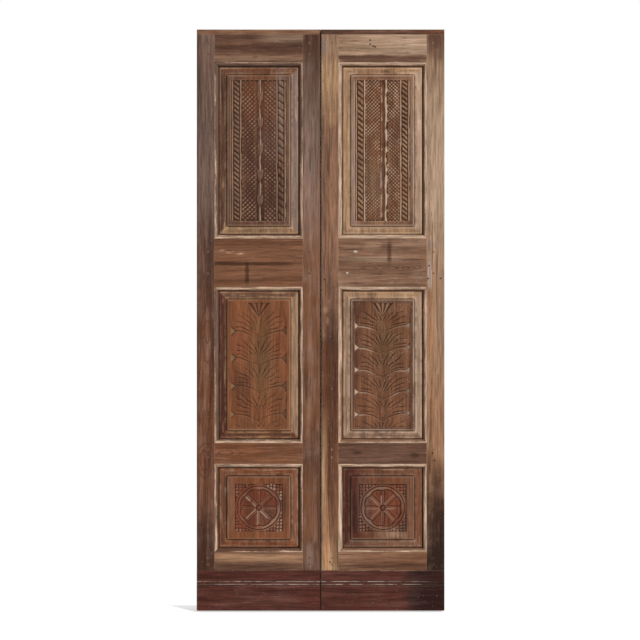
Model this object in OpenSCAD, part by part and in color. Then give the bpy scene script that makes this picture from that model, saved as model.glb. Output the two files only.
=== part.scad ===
// Carved double door: two framed and panelled leaves, hung by butt hinges on a plain frame behind them.
// Millimetres. X runs to the right, Y runs back from the carved face, Z runs up.
// The origin is the middle of the footprint, on the underside of the sill.

/* [Leaf] */
// Width of one leaf
leaf_w = 454; // [430:1:500]
// Thickness of the stiles and rails
leaf_t = 38; // [36:1:46]
// Width of each stile
stile_w = 65; // [58:1:74]
// Gap between the two leaves where they meet
meeting_gap = 1; // [0.6:0.1:3]
// Width of the chamfer down each meeting edge
meeting_chamfer = 3; // [1:0.5:5]
// Clear height under the leaves
floor_gap = 6; // [4:1:12]

/* [Heights, from the foot up] */
// Height of the board at the foot of a leaf
plinth_board_h = 106; // [94:1:124]
// Height of the plinth rail on top of that board
plinth_rail_h = 41; // [34:1:52]
// Height of the bottom rail
bottom_rail_h = 68; // [62:1:84]
// Height of the lower opening
lower_opening_h = 323; // [290:1:356]
// Height of the cross rail
cross_rail_h = 77; // [68:1:90]
// Height of the middle opening
middle_opening_h = 573; // [515:1:640]
// Height of the lock rail
lock_rail_h = 178; // [150:1:200]
// Height of the upper opening
upper_opening_h = 646; // [580:1:720]
// Height of the top rail
top_rail_h = 103; // [90:1:120]
// Height of the strip on top of the leaf
top_strip_h = 18; // [16:0.5:26]

/* [Plinth] */
// How far the plinth stands in front of the stiles
plinth_proud = 4; // [2:0.5:8]
// Height of the bead along the top of the plinth board
bead_h = 10; // [6:1:14]
// Depth of the grooves beside that bead
bead_groove = 3; // [1.5:0.5:4]

/* [Joints in the wood] */
// Width of the groove that holds a panel
groove_t = 12; // [10:0.5:14]
// Depth of that groove
groove_d = 10; // [8:0.5:12]
// Clearance round a tongue or a tenon, each side
joint_fit = 0.2; // [0.1:0.05:0.4]
// Length of a rail's tenon
tenon_l = 48; // [40:1:52]
// Radius of a tenon peg
peg_r = 4; // [3:0.5:5]
// Clearance round a peg, a dowel or a screw
peg_fit = 0.08; // [0.05:0.01:0.15]
// Radius of the dowels under the plinth and the top strip
dowel_r = 6; // [4:0.5:7]
// Depth of a dowel in the bottom rail and the top rail
dowel_bite = 40; // [30:1:48]
// Wood left at a dowel's blind end in the strip and the board
dowel_cover = 6; // [4:0.5:8]

/* [Panels and mouldings] */
// Width of the moulding round an opening
moulding_w = 14; // [10:0.5:18]
// How far the moulding stands in front of the stiles
moulding_proud = 1; // [0.5:0.1:2.5]
// Gap in the mitre between two strips of moulding
mitre_gap = 0.2; // [0.1:0.05:0.6]
// Width of the open quirk between the moulding and the bevel
quirk_w = 2.5; // [1.5:0.1:4]
// Width of the panel's sloping bevel
bevel_w = 28.5; // [22:0.5:34]
// Width of the small step from the bevel up to the field
step_w = 3; // [2:0.5:5]
// Height of the bevel's outer edge over the tongue
bevel_edge_h = 3; // [1.5:0.5:4]
// Height that the bevel gains on its slope
bevel_rise = 4; // [2:0.5:5]
// Height of the step from the bevel to the field
step_h = 3; // [1.5:0.5:3.5]
// Depth of the carved ground under the field
carve_d = 5; // [3:0.5:6]

/* [Upper panel carving] */
// Plain margin beside the carved bands
band_side = 13; // [8:1:18]
// Plain margin over and under the carved bands
band_end = 16; // [10:1:24]
// Width of a rope band
rope_w = 21; // [16:1:26]
// Spacing of the rope's strands
rope_pitch = 19; // [16:0.5:28]
// Width of the plain ridges on both sides of a rope
ridge_w = 5; // [3:0.5:8]
// Gap between a rope, its ridges and the bands beside them
band_gap = 2; // [1:0.5:3]
// Width of the channel that the vine runs in
vine_channel_w = 22; // [18:1:30]
// Radius of the vine's stem
vine_r = 4; // [3:0.5:5]
// Swing of the vine to each side
vine_swing = 3; // [1:0.5:4]
// Spacing of the vine's buds
vine_pitch = 52; // [40:1:70]
// Spacing of the scales
scale_pitch = 14; // [12:0.5:20]
// Shift of the left panel's vine from the middle, to the right
left_vine_shift = 6; // [0:1:12]
// Shift of the right panel's vine from the middle, to the right
right_vine_shift = 12; // [0:1:20]

/* [Middle panel carving] */
// Plain margin round the foliage
foliage_margin = 12; // [8:1:18]
// Vertical spacing of the left panel's leaves
left_foliage_pitch = 101; // [80:1:120]
// Vertical spacing of the right panel's leaves
right_foliage_pitch = 81; // [70:1:120]
// How far a leaf climbs from the stem to its lobe
foliage_rise = 28; // [18:1:36]
// Depth of the notch between two lobes
notch_d = 20; // [12:1:26]
// Width of the cut between two leaves
leaf_cut = 3; // [2:0.5:5]
// Radius of the stem between the leaves
stem_r = 3.5; // [2.5:0.5:5]
// Depth of a leaf's veins
vein_d = 1.6; // [0.8:0.1:2.2]

/* [Lower panel carving] */
// Side of the carved square
rosette_side = 174; // [150:1:200]
// Outer radius of the ring
ring_r = 80; // [70:1:84]
// Width of the ring's band
ring_w = 11; // [8:1:16]
// Radius of the hub
hub_r = 8; // [5:0.5:12]
// Number of spokes
spokes = 8; // [6:1:12]
// Width of a spoke
spoke_w = 8; // [5:0.5:10]
// Height of the wheel's flat parts over the carved ground
wheel_h = 2; // [1:0.5:3]
// Spacing of the notches cut in the corners
chip_pitch = 15; // [12:1:20]

/* [Hinges] */
// Height of a hinge
hinge_h = 100; // [80:1:120]
// Distance from a hinge's middle to the nearest rail
hinge_inset = 75; // [66:1:110]
// Reach of a hinge plate from the pin
plate_reach = 30; // [26:0.5:33]
// Thickness of a hinge plate
plate_t = 2.6; // [2.2:0.1:3]
// Outer radius of a knuckle
knuckle_r = 4.6; // [4.2:0.1:6]
// Gap between two knuckles
knuckle_gap = 0.5; // [0.3:0.1:0.8]
// Gap between a knuckle and the wood that turns past it
knuckle_clear = 0.4; // [0.3:0.1:0.8]
// Radius of a hinge pin
pin_r = 2.4; // [2:0.1:3]
// Running clearance round a hinge pin
pin_fit = 0.05; // [0.02:0.01:0.1]
// Length of a hinge screw
screw_l = 24; // [18:1:30]
// Radius of a hinge screw's shank
screw_r = 2; // [1.6:0.1:2.4]
// Radius of a hinge screw's head
screw_head_r = 4; // [3.5:0.1:4.5]
// Clearance between a leaf's back and the frame
back_gap = 2; // [1.5:0.1:4]

/* [Frame] */
// Width of a jamb
jamb_w = 65; // [58:1:80]
// Depth of the frame, front to back
frame_d = 70; // [66:1:90]
// Height of the head
head_h = 65; // [56:1:80]
// Height of the sill
sill_h = 40; // [36:1:50]
// How far the frame's top lies under the leaves' top
head_setback = 3; // [1:0.5:8]
// How far a jamb's outer side lies in from the leaf's outer edge, which hides the hinges
jamb_setback = 12; // [11:0.5:20]
// Thickness of the frame's tenons
frame_tenon_t = 22; // [18:1:26]
// Length of the frame's tenons
frame_tenon_l = 45; // [36:1:50]
// Shoulder over and under the frame's tenons
frame_shoulder = 8; // [5:1:12]
// Radius of the holes for the wall fixings
fixing_r = 4.25; // [3:0.25:6]
// Distance of those holes from the frame's back
fixing_inset = 20; // [14:1:28]
// Height between the outer pair of fixings
fixing_span = 1650; // [1500:10:1760]

/* [Hidden] */
eps = 0.02;
paint_brown = [0.40, 0.29, 0.24];
carved_brown = [0.45, 0.28, 0.18];
bare_wood = [0.66, 0.52, 0.38];
red_oxide = [0.30, 0.15, 0.13];
frame_brown = [0.42, 0.32, 0.24];
dark_iron = [0.20, 0.19, 0.18];
peg_wood = [0.34, 0.23, 0.15];

SIDES = ["left", "right"];
PLACES = ["lower", "middle", "upper"];
LEAF_PIECES = ["hanging_stile", "meeting_stile", "bottom_rail", "cross_rail", "lock_rail", "top_rail",
    "top_strip", "plinth_rail", "plinth_board", "lower_panel", "middle_panel", "upper_panel",
    "lower_moulding", "middle_moulding", "upper_moulding", "tenon_pegs", "dowels",
    "lower_leaf_plate", "middle_leaf_plate", "upper_leaf_plate", "leaf_screws"];
FRAME_PIECES = ["jamb", "lower_frame_plate", "middle_frame_plate", "upper_frame_plate",
    "frame_screws", "hinge_pins"];

opening_w = leaf_w - 2 * stile_w;
z_bottom_rail = plinth_board_h + plinth_rail_h;
z_lower = z_bottom_rail + bottom_rail_h;
z_cross = z_lower + lower_opening_h;
z_middle = z_cross + cross_rail_h;
z_lock = z_middle + middle_opening_h;
z_upper = z_lock + lock_rail_h;
z_top_rail = z_upper + upper_opening_h;
z_strip = z_top_rail + top_rail_h;
leaf_h = z_strip + top_strip_h;
stile_l = z_strip - z_bottom_rail;

// One row per rail: foot, height, groove in the lower edge, groove in the upper edge
BOTTOM_RAIL = [z_bottom_rail, bottom_rail_h, 0, groove_d];
CROSS_RAIL = [z_cross, cross_rail_h, groove_d, groove_d];
LOCK_RAIL = [z_lock, lock_rail_h, groove_d, groove_d];
TOP_RAIL = [z_top_rail, top_rail_h, groove_d, 0];
RAILS = [BOTTOM_RAIL, CROSS_RAIL, LOCK_RAIL, TOP_RAIL];
function tenon_z(rail) = rail[0] + groove_d;
function tenon_h(rail) = rail[1] - 2 * groove_d;
function peg_zs(rail) = [for (share = [0.25, 0.75]) tenon_z(rail) + share * tenon_h(rail)];

groove_y = (leaf_t - groove_t) / 2;
tongue_y = groove_y + joint_fit;
bevel_y = groove_y - bevel_edge_h;
bevel_top_y = bevel_y - bevel_rise;
field_y = bevel_top_y - step_h;
bevel_inset = moulding_w + quirk_w;
field_inset = bevel_inset + bevel_w + step_w;
field_w = opening_w - 2 * field_inset;
peg_u = stile_w - tenon_l / 2;
dowel_us = [for (share = [0.25, 0.5, 0.75]) leaf_w * share];

depth = plinth_proud + leaf_t + back_gap + frame_d;
face_y = plinth_proud - depth / 2;
frame_y = face_y + leaf_t + back_gap;
pair_w = 2 * leaf_w + meeting_gap;
frame_w = pair_w - 2 * jamb_setback;
frame_h = floor_gap + leaf_h - head_setback;
head_l = frame_w - 2 * jamb_w;
frame_peg_u = jamb_w - frame_tenon_l / 2;
fixing_y = frame_y + frame_d - fixing_inset;
fixing_zs = [for (share = [-1/2, -1/6, 1/6, 1/2]) frame_h / 2 + share * fixing_span];

axis_out = knuckle_r + knuckle_clear - plate_t;
axis_x = jamb_setback - axis_out;
axis_y = leaf_t + axis_out;
plate_start = knuckle_r + knuckle_clear;
screw_y = (plate_start + plate_reach) / 2;
screw_head_l = screw_head_r - screw_r;
KNUCKLES = 5;
knuckle_h = hinge_h / KNUCKLES;
LEAF_KNUCKLES = [1, 3];
FRAME_KNUCKLES = [0, 2, 4];
hinge_zs = [z_lower + hinge_inset, z_lock - hinge_inset, z_top_rail - hinge_inset];
screw_zs = [for (share = [1/6, 1/2, 5/6]) hinge_h * share];

function is_right(side) = side == "right";
function pick(side, left_value, right_value) = is_right(side) ? right_value : left_value;

// Places a leaf: X from the hanging edge to the meeting edge, Y back from the face, Z up from its foot
module on_leaf(side)
{
    mirror([is_right(side) ? 1 : 0, 0, 0])
        translate([-pair_w / 2, face_y, floor_gap])
            children();
}

// Places a jamb: X in from the outer side, Y back from the frame's front, Z up from the floor
module on_frame(side)
{
    mirror([is_right(side) ? 1 : 0, 0, 0])
        translate([-frame_w / 2, frame_y, 0])
            children();
}

// Stiles and rails

module mortises()
{
    for (rail = RAILS)
        translate([-joint_fit, groove_y - joint_fit / 2, tenon_z(rail) - z_bottom_rail - joint_fit])
            cube([tenon_l + 2 * joint_fit, groove_t + joint_fit, tenon_h(rail) + 2 * joint_fit]);
}

module peg_bores(u)
{
    for (rail = RAILS)
        for (z = peg_zs(rail))
            translate([u, -eps, z])
                rotate([-90, 0, 0])
                    cylinder(r = peg_r + peg_fit, h = leaf_t + 2 * eps, $fn = 32);
}

// A stile with its inner edge at X = 0 and its body towards -X
module stile(chamfer)
{
    outline = [
        [-stile_w, chamfer], [chamfer - stile_w, 0], [0, 0],
        [0, groove_y], [-groove_d, groove_y], [-groove_d, groove_y + groove_t], [0, groove_y + groove_t],
        [0, leaf_t], [-stile_w, leaf_t]];
    color(paint_brown)
        translate([0, 0, z_bottom_rail])
            difference() {
                linear_extrude(stile_l)
                    polygon(outline);
                mirror([1, 0, 0])
                    mortises();
                translate([0, 0, -z_bottom_rail])
                    peg_bores(peg_u - stile_w);
            }
}

module hanging_stile()
{
    difference() {
        translate([stile_w, 0, 0])
            stile(0);
        for (z = hinge_zs)
            at_hinge(z)
                on_leaf_back()
                    plate_pocket();
    }
}

module meeting_stile()
{
    translate([leaf_w - stile_w, 0, 0])
        mirror([1, 0, 0])
            stile(meeting_chamfer);
}

module rail(row)
{
    color(paint_brown)
        difference() {
            union() {
                translate([stile_w, 0, row[0]])
                    cube([opening_w, leaf_t, row[1]]);
                translate([stile_w - tenon_l, groove_y + joint_fit / 2, tenon_z(row)])
                    cube([opening_w + 2 * tenon_l, groove_t - joint_fit, tenon_h(row)]);
            }
            if (row[2] > 0)
                rail_groove(row[0] - eps);
            if (row[3] > 0)
                rail_groove(row[0] + row[1] - groove_d + eps);
            for (u = [peg_u, leaf_w - peg_u])
                peg_bores(u);
            dowel_bores();
        }
}

module rail_groove(z)
{
    translate([stile_w - eps, groove_y, z])
        cube([opening_w + 2 * eps, groove_t, groove_d]);
}

module tenon_pegs()
{
    color(peg_wood)
        for (rail = RAILS)
            for (u = [peg_u, leaf_w - peg_u])
                for (z = peg_zs(rail))
                    translate([u, 0, z])
                        rotate([-90, 0, 0])
                            cylinder(r = peg_r, h = leaf_t, $fn = 32);
}

// Plinth, top strip and the dowels that hold them

foot_dowel_z = dowel_cover;
foot_dowel_l = z_bottom_rail + dowel_bite - dowel_cover;
head_dowel_z = z_strip - dowel_bite;
head_dowel_l = dowel_bite + top_strip_h - dowel_cover;

module dowel_bores()
{
    for (u = dowel_us) {
        translate([u, leaf_t / 2, foot_dowel_z])
            cylinder(r = dowel_r + peg_fit, h = foot_dowel_l, $fn = 32);
        translate([u, leaf_t / 2, head_dowel_z])
            cylinder(r = dowel_r + peg_fit, h = head_dowel_l, $fn = 32);
    }
}

module dowels()
{
    color(peg_wood)
        for (u = dowel_us) {
            translate([u, leaf_t / 2, foot_dowel_z])
                cylinder(r = dowel_r, h = foot_dowel_l, $fn = 32);
            translate([u, leaf_t / 2, head_dowel_z])
                cylinder(r = dowel_r, h = head_dowel_l, $fn = 32);
        }
}

module top_strip()
{
    color(bare_wood)
        difference() {
            translate([0, 0, z_strip])
                cube([leaf_w, leaf_t, top_strip_h]);
            dowel_bores();
        }
}

module plinth_rail()
{
    color(red_oxide)
        difference() {
            translate([0, -plinth_proud, plinth_board_h])
                cube([leaf_w, leaf_t + plinth_proud, plinth_rail_h]);
            dowel_bores();
        }
}

// The board's top edge carries a bead between two grooves
module plinth_board()
{
    top = plinth_board_h;
    outline = [
        [leaf_t, 0], [leaf_t, top], [bead_groove - plinth_proud, top], [-plinth_proud, top - bead_groove],
        [-plinth_proud, top - bead_h], [bead_groove - plinth_proud, top - bead_h - bead_groove],
        [-plinth_proud, top - bead_h - 2 * bead_groove], [-plinth_proud, 0]];
    color(red_oxide)
        difference() {
            rotate([90, 0, 90])
                linear_extrude(leaf_w)
                    polygon(outline);
            dowel_bores();
        }
}

// Mouldings: X along the strip, Z in from the edge of the opening

module moulding_strip(length)
{
    face = -moulding_proud;
    back = groove_y;
    drop = moulding_w * 0.7;
    outline = concat(
        [[back, 0], [face, 0], [face, moulding_w - drop - 1]],
        [for (a = [0:15:90]) [face + drop * (1 - cos(a)), moulding_w - drop - 1 + drop * sin(a)]],
        [[face + drop + 1, moulding_w], [back, moulding_w]]);
    reach = 2 * leaf_t;
    difference() {
        rotate([90, 0, 90])
            linear_extrude(length)
                polygon(outline);
        rotate([0, 45, 0])
            translate([mitre_gap / 2 - reach, -reach, -reach])
                cube([reach, 2 * reach, 2 * reach]);
        translate([length, 0, 0])
            rotate([0, -45, 0])
                translate([-mitre_gap / 2, -reach, -reach])
                    cube([reach, 2 * reach, 2 * reach]);
    }
}

module moulding_set(z, height)
{
    color(bare_wood)
        translate([stile_w + opening_w / 2, 0, z + height / 2])
            for (quarter = [0:3])
                let (run = quarter % 2 == 0 ? opening_w : height, off = quarter % 2 == 0 ? height : opening_w)
                    rotate([0, 90 * quarter, 0])
                        translate([-run / 2, 0, -off / 2])
                            moulding_strip(run);
}

// Panels: X from the middle, Y back from the leaf's face, Z from the middle

module slab(width, height, y0, y1)
{
    translate([-width / 2, y0, -height / 2])
        cube([width, y1 - y0, height]);
}

// A slab whose front is smaller than its back
module tapered_slab(width, height, inset, y0, y1)
{
    hull() {
        slab(width, height, y1 - eps, y1);
        slab(width - 2 * inset, height - 2 * inset, y0, y0 + eps);
    }
}

module raised_panel(height)
{
    hold = 2 * (groove_d - joint_fit);
    bevel_width = opening_w - 2 * bevel_inset;
    bevel_height = height - 2 * bevel_inset;
    field_height = height - 2 * field_inset;
    slab(opening_w + hold, height + hold, tongue_y, tongue_y + groove_t - 2 * joint_fit);
    slab(bevel_width, bevel_height, bevel_y - eps, tongue_y + eps);
    tapered_slab(bevel_width, bevel_height, bevel_w, bevel_top_y - eps, bevel_y);
    tapered_slab(field_w + 2 * step_w, field_height + 2 * step_w, step_w, field_y, bevel_top_y);
}

// A carved block. point(i, j) gives [x, z, height over the ground]; slant 0 weaves the facets,
// slant 1 or -1 runs them all up or all down to the right.
module relief(columns, rows, point, slant)
{
    root = carve_d / 2;
    grid = [for (j = [0:rows]) for (i = [0:columns]) point(i, j)];
    count = len(grid);
    across = columns + 1;
    front = [for (p = grid) [p.x, -p.z, p.y]];
    back = [for (p = grid) [p.x, root, p.y]];
    cells = [for (j = [0:rows - 1]) for (i = [0:columns - 1]) [i, j, j * across + i]];
    rising = function (i, j) slant == 0 ? (i + j) % 2 == 1 : slant > 0;
    skin = [for (c = cells) let (a = c[2], d = a + across)
        each rising(c[0], c[1]) ? [[a, d, d + 1], [a, d + 1, a + 1]] : [[a, d, a + 1], [d, d + 1, a + 1]]];
    rear = [for (c = cells) let (a = c[2] + count, d = a + across) [a, a + 1, d + 1, d]];
    foot = [for (i = [0:columns - 1]) [i, i + 1, count + i + 1, count + i]];
    crown = [for (i = [0:columns - 1]) let (a = rows * across + i) [a + 1, a, count + a, count + a + 1]];
    west = [for (j = [0:rows - 1]) let (a = j * across) [a + across, a, count + a, count + a + across]];
    east = [for (j = [0:rows - 1]) let (a = j * across + columns)
        [a, a + across, count + a + across, count + a]];
    translate([0, field_y + carve_d, 0])
        polyhedron(concat(front, back), concat(skin, rear, foot, crown, west, east));
}

module ground(width, height)
{
    slab(width, height, field_y - 1, field_y + carve_d);
}

// Upper panel: two ropes between ridges, two bands of scales and a vine

module rope(x, height, slant)
{
    columns = 4;
    rows = 3 * round(height / rope_pitch);
    dome = [0.3, 0.85, 1, 0.85, 0.3];
    strand = [1, 0.75, 0.3];
    point = function (i, j) [
        x + rope_w * (i / columns - 1/2),
        height * (j / rows - 1/2),
        carve_d * dome[i] * strand[(j - slant * i + 3 * columns) % 3]];
    relief(columns, rows, point, slant);
}

module scales(x0, x1, height)
{
    columns = max(2, 2 * round((x1 - x0) / scale_pitch));
    rows = 2 * round(height / scale_pitch);
    point = function (i, j) [
        x0 + (x1 - x0) * i / columns,
        height * (j / rows - 1/2),
        carve_d * ((i + j) % 2 == 0 ? 0.85 : 0.25)];
    relief(columns, rows, point, 0);
}

module ridge(x, height)
{
    translate([x, field_y + carve_d, -height / 2])
        linear_extrude(height)
            polygon([[-ridge_w / 2, 1], [-ridge_w / 2, -carve_d * 0.6], [0, -carve_d],
                [ridge_w / 2, -carve_d * 0.6], [ridge_w / 2, 1]]);
}

module vine(x, height)
{
    bends = 2 * floor(height / vine_pitch);
    step = height / bends;
    function bend(k) = [x + vine_swing * (k % 2 == 0 ? 1 : -1), field_y + carve_d, (k - bends / 2) * step];
    for (k = [0:bends - 1])
        hull() {
            translate(bend(k))
                stem_end();
            translate(bend(k + 1))
                stem_end();
        }
    for (k = [1:2:bends - 1])
        translate(bend(k) + [-vine_r * 0.8, 0, 0])
            rotate([0, 30, 0])
                scale([0.8, 1, 1.6])
                    sphere(r = vine_r, $fn = 8);
}

module stem_end()
{
    rotate([90, 0, 0])
        cylinder(r1 = vine_r, r2 = vine_r / 2, h = carve_d - 0.5, $fn = 6);
}

module upper_panel(side)
{
    height = upper_opening_h - 2 * field_inset - 2 * band_end;
    width = field_w - 2 * band_side;
    flip = is_right(side) ? -1 : 1;
    middle = flip * pick(side, left_vine_shift, right_vine_shift);
    rope_step = (rope_w + ridge_w) / 2 + band_gap;
    outer_x = (width - ridge_w) / 2 - band_gap;
    rope_x = outer_x - rope_step;
    inner_x = rope_x - rope_step;
    edge = inner_x - ridge_w / 2 - band_gap;
    color(carved_brown)
        place_panel(z_upper, upper_opening_h) {
            difference() {
                raised_panel(upper_opening_h);
                ground(width, height);
            }
            for (end = [-1, 1]) {
                rope(end * rope_x, height + 1, -flip);
                ridge(end * outer_x, height + 1);
                ridge(end * inner_x, height + 1);
            }
            scales(-edge, middle - vine_channel_w / 2, height + 1);
            scales(middle + vine_channel_w / 2, edge, height + 1);
            vine(middle, height - 2 * vine_r);
        }
}

module place_panel(z, height)
{
    translate([stile_w + opening_w / 2, 0, z + height / 2])
        union() {
            children();
        }
}

// Middle panel: pairs of veined leaves that climb from the middle line

module foliage_leaf(z, pitch, half_w)
{
    columns = 10;
    rows = 6;
    start_x = stem_r + leaf_cut / 2;
    notch_x = half_w - notch_d;
    climb = function (x) foliage_rise * sin(90 * min(1, x / notch_x));
    point = function (i, j)
        let (share = leaf_cut / pitch * (1/2 - j / rows) + j / rows,
            reach = notch_x + notch_d * sin(180 * share),
            x = start_x + (reach - start_x) * i / columns,
            crown = sin(180 * (0.15 + 0.7 * j / rows)),
            vein = (i % 2 == 1 && j != rows / 2) ? vein_d : 0,
            lip = i == columns ? 0.5 : 0)
        [x, z + pitch * share + climb(x), carve_d * (0.35 + 0.6 * crown) * (1 - lip) - vein];
    relief(columns, rows, point, 0);
}

// A stem that tapers from each pair of leaves to the next
module stem(z0, z1)
{
    hull() {
        stem_knot(z0, stem_r);
        stem_knot(z1, stem_r / 2);
    }
}

module stem_knot(z, r)
{
    translate([0, field_y + carve_d + 1, z])
        rotate([90, 0, 0])
            cylinder(r1 = r, r2 = r / 2, h = carve_d * 0.9 + 1, $fn = 6);
}

// Bud over the top pair of leaves
module bud(z, height)
{
    for (turn = [-32, 0, 32])
        translate([0, field_y + carve_d, z])
            rotate([0, turn, 0])
                hull() {
                    translate([0, 0.5, height * 0.1])
                        rotate([90, 0, 0])
                            cylinder(r = 2, h = carve_d * 0.6, $fn = 6);
                    translate([0, 0.5, height * 0.55])
                        rotate([90, 0, 0])
                            cylinder(r1 = height * 0.16, r2 = height * 0.06, h = carve_d, $fn = 6);
                    translate([0, 0.5, height * 0.85])
                        rotate([90, 0, 0])
                            cylinder(r = 1.5, h = carve_d * 0.6, $fn = 6);
                }
}

module middle_panel(side)
{
    width = field_w - 2 * foliage_margin;
    height = middle_opening_h - 2 * field_inset - 2 * foliage_margin;
    pitch = pick(side, left_foliage_pitch, right_foliage_pitch);
    top = height / 2 - foliage_rise;
    pairs = ceil((height - foliage_rise) / pitch) + 1;
    color(carved_brown)
        place_panel(z_middle, middle_opening_h) {
            difference() {
                raised_panel(middle_opening_h);
                ground(width, height);
            }
            intersection() {
                slab(width + 1, height + 1, 0, leaf_t / 2);
                for (k = [1:pairs]) {
                    stem(top - k * pitch, top - (k - 1) * pitch);
                    for (way = [0, 1])
                        mirror([way, 0, 0])
                            foliage_leaf(top - k * pitch, pitch, (width - leaf_cut) / 2);
                }
            }
            bud(top, foliage_rise);
        }
}

// Lower panel: a ring with a wheel of spokes, in a square with notched corners

module spoke(turn)
{
    rotate([0, turn, 0])
        hull() {
            spoke_end(hub_r);
            spoke_end(ring_r - ring_w - spoke_w / 4);
        }
}

module spoke_end(z)
{
    translate([0, field_y + carve_d + 1, z])
        rotate([90, 0, 0])
            cylinder(r1 = spoke_w / 2, r2 = spoke_w / 6, h = carve_d * 0.95 + 1, $fn = 6);
}

module wheel_floor()
{
    translate([0, field_y + carve_d + 1, 0])
        rotate([90, 0, 0])
            cylinder(r = ring_r - ring_w / 2, h = wheel_h + 1, $fn = 48);
}

module ring()
{
    translate([0, field_y + carve_d, 0])
        rotate([90, 0, 0])
            rotate_extrude($fn = 48)
                polygon([[ring_r - ring_w, -1], [ring_r, -1], [ring_r, carve_d * 0.5],
                    [ring_r - ring_w / 4, carve_d * 0.9], [ring_r - 3 * ring_w / 4, carve_d * 0.9],
                    [ring_r - ring_w, carve_d * 0.5]]);
}

// Pyramids left standing between the notches of one corner
module corner_chips()
{
    half = rosette_side / 2;
    rows = floor(half / 2 / chip_pitch);
    for (i = [0:rows])
        for (j = [0:rows])
            let (x = half - (i + 1/2) * chip_pitch, z = half - (j + 1/2) * chip_pitch)
                if (norm([x, z]) > ring_r + chip_pitch * 0.62)
                    translate([x, field_y + carve_d + eps, z])
                        rotate([90, 0, 0])
                            rotate([0, 0, 45])
                                cylinder(r1 = chip_pitch * 0.68, r2 = 0.5, h = carve_d * 0.8, $fn = 4);
}

module lower_panel()
{
    color(carved_brown)
        place_panel(z_lower, lower_opening_h) {
            difference() {
                raised_panel(lower_opening_h);
                ground(rosette_side, rosette_side);
            }
            ring();
            wheel_floor();
            for (k = [0:spokes - 1])
                spoke(360 * k / spokes);
            translate([0, field_y + carve_d + 1, 0])
                rotate([90, 0, 0])
                    cylinder(r1 = hub_r, r2 = hub_r * 0.7, h = carve_d + 0.5, $fn = 16);
            for (quarter = [0:3])
                rotate([0, 90 * quarter, 0])
                    corner_chips();
        }
}

// Hinges: the pin's axis is Z, the wood's side lies at X = axis_out, the plate runs towards +Y

module at_hinge(z)
{
    translate([axis_x, axis_y, z - hinge_h / 2])
        children();
}

// Turns a plate from a jamb's outer side to a leaf's back
module on_leaf_back()
{
    rotate([0, 0, -90])
        children();
}

module hinge_plate(own)
{
    color(dark_iron)
        difference() {
            union() {
                translate([axis_out, plate_start, 0])
                    cube([plate_t, plate_reach - plate_start, hinge_h]);
                for (k = own)
                    translate([0, 0, k * knuckle_h + knuckle_gap / 2]) {
                        cylinder(r = knuckle_r, h = knuckle_h - knuckle_gap, $fn = 48);
                        translate([axis_out, 0, 0])
                            cube([plate_t, plate_start + 1, knuckle_h - knuckle_gap]);
                    }
            }
            translate([0, 0, -1])
                cylinder(r = pin_r + pin_fit, h = hinge_h + 2, $fn = 48);
            screw_bores();
        }
}

module plate_pocket()
{
    translate([axis_out - 1, -plate_start, -joint_fit])
        cube([plate_t + 1, plate_start + plate_reach + joint_fit, hinge_h + 2 * joint_fit]);
    screw_bores();
}

module on_screws()
{
    for (z = screw_zs)
        translate([axis_out, screw_y, z])
            rotate([0, 90, 0])
                children();
}

module screw_bores()
{
    on_screws() {
        cylinder(r1 = screw_head_r + peg_fit, r2 = screw_r + peg_fit, h = screw_head_l, $fn = 32);
        translate([0, 0, screw_head_l / 2])
            cylinder(r = screw_r + peg_fit, h = screw_l + 1 - screw_head_l / 2, $fn = 32);
    }
}

module screws()
{
    tip_l = 1.5 * screw_r;
    color(dark_iron)
        on_screws()
            difference() {
                union() {
                    cylinder(r1 = screw_head_r, r2 = screw_r, h = screw_head_l, $fn = 32);
                    translate([0, 0, screw_head_l / 2])
                        cylinder(r = screw_r, h = screw_l - tip_l - screw_head_l / 2, $fn = 32);
                    translate([0, 0, screw_l - tip_l])
                        cylinder(r1 = screw_r, r2 = screw_r / 4, h = tip_l, $fn = 32);
                }
                translate([-screw_r / 5, -screw_head_r - 1, -1])
                    cube([2 * screw_r / 5, 2 * screw_head_r + 2, 1 + screw_head_l / 3]);
            }
}

module leaf_plate(z)
{
    at_hinge(z)
        on_leaf_back()
            hinge_plate(LEAF_KNUCKLES);
}

module leaf_screws()
{
    for (z = hinge_zs)
        at_hinge(z)
            on_leaf_back()
                screws();
}

module frame_plate(z)
{
    at_hinge(z)
        hinge_plate(FRAME_KNUCKLES);
}

module frame_screws()
{
    for (z = hinge_zs)
        at_hinge(z)
            screws();
}

// A plain pin, as long as the hinge is high
module hinge_pins()
{
    color(dark_iron)
        for (z = hinge_zs)
            at_hinge(z)
                cylinder(r = pin_r, h = hinge_h, $fn = 48);
}

// Frame

module cross_member(z, height)
{
    tenon_y = (frame_d - frame_tenon_t + joint_fit) / 2;
    color(frame_brown)
        translate([0, frame_y, z])
            difference() {
                union() {
                    translate([-head_l / 2, 0, 0])
                        cube([head_l, frame_d, height]);
                    translate([-head_l / 2 - frame_tenon_l, tenon_y, frame_shoulder])
                        cube([head_l + 2 * frame_tenon_l, frame_tenon_t - joint_fit,
                            height - 2 * frame_shoulder]);
                }
                for (end = [-1, 1])
                    translate([end * (frame_w / 2 - frame_peg_u), -eps, height / 2])
                        frame_peg(peg_fit, eps);
            }
}

module frame_peg(grow, over)
{
    rotate([-90, 0, 0])
        cylinder(r = peg_r + grow, h = frame_d + 2 * over, $fn = 32);
}

module head()
{
    cross_member(frame_h - head_h, head_h);
}

module sill()
{
    cross_member(0, sill_h);
}

module frame_pegs()
{
    color(peg_wood)
        for (side = SIDES)
            on_frame(side)
                for (z = [sill_h / 2, frame_h - head_h / 2])
                    translate([frame_peg_u, 0, z])
                        frame_peg(0, 0);
}

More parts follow.
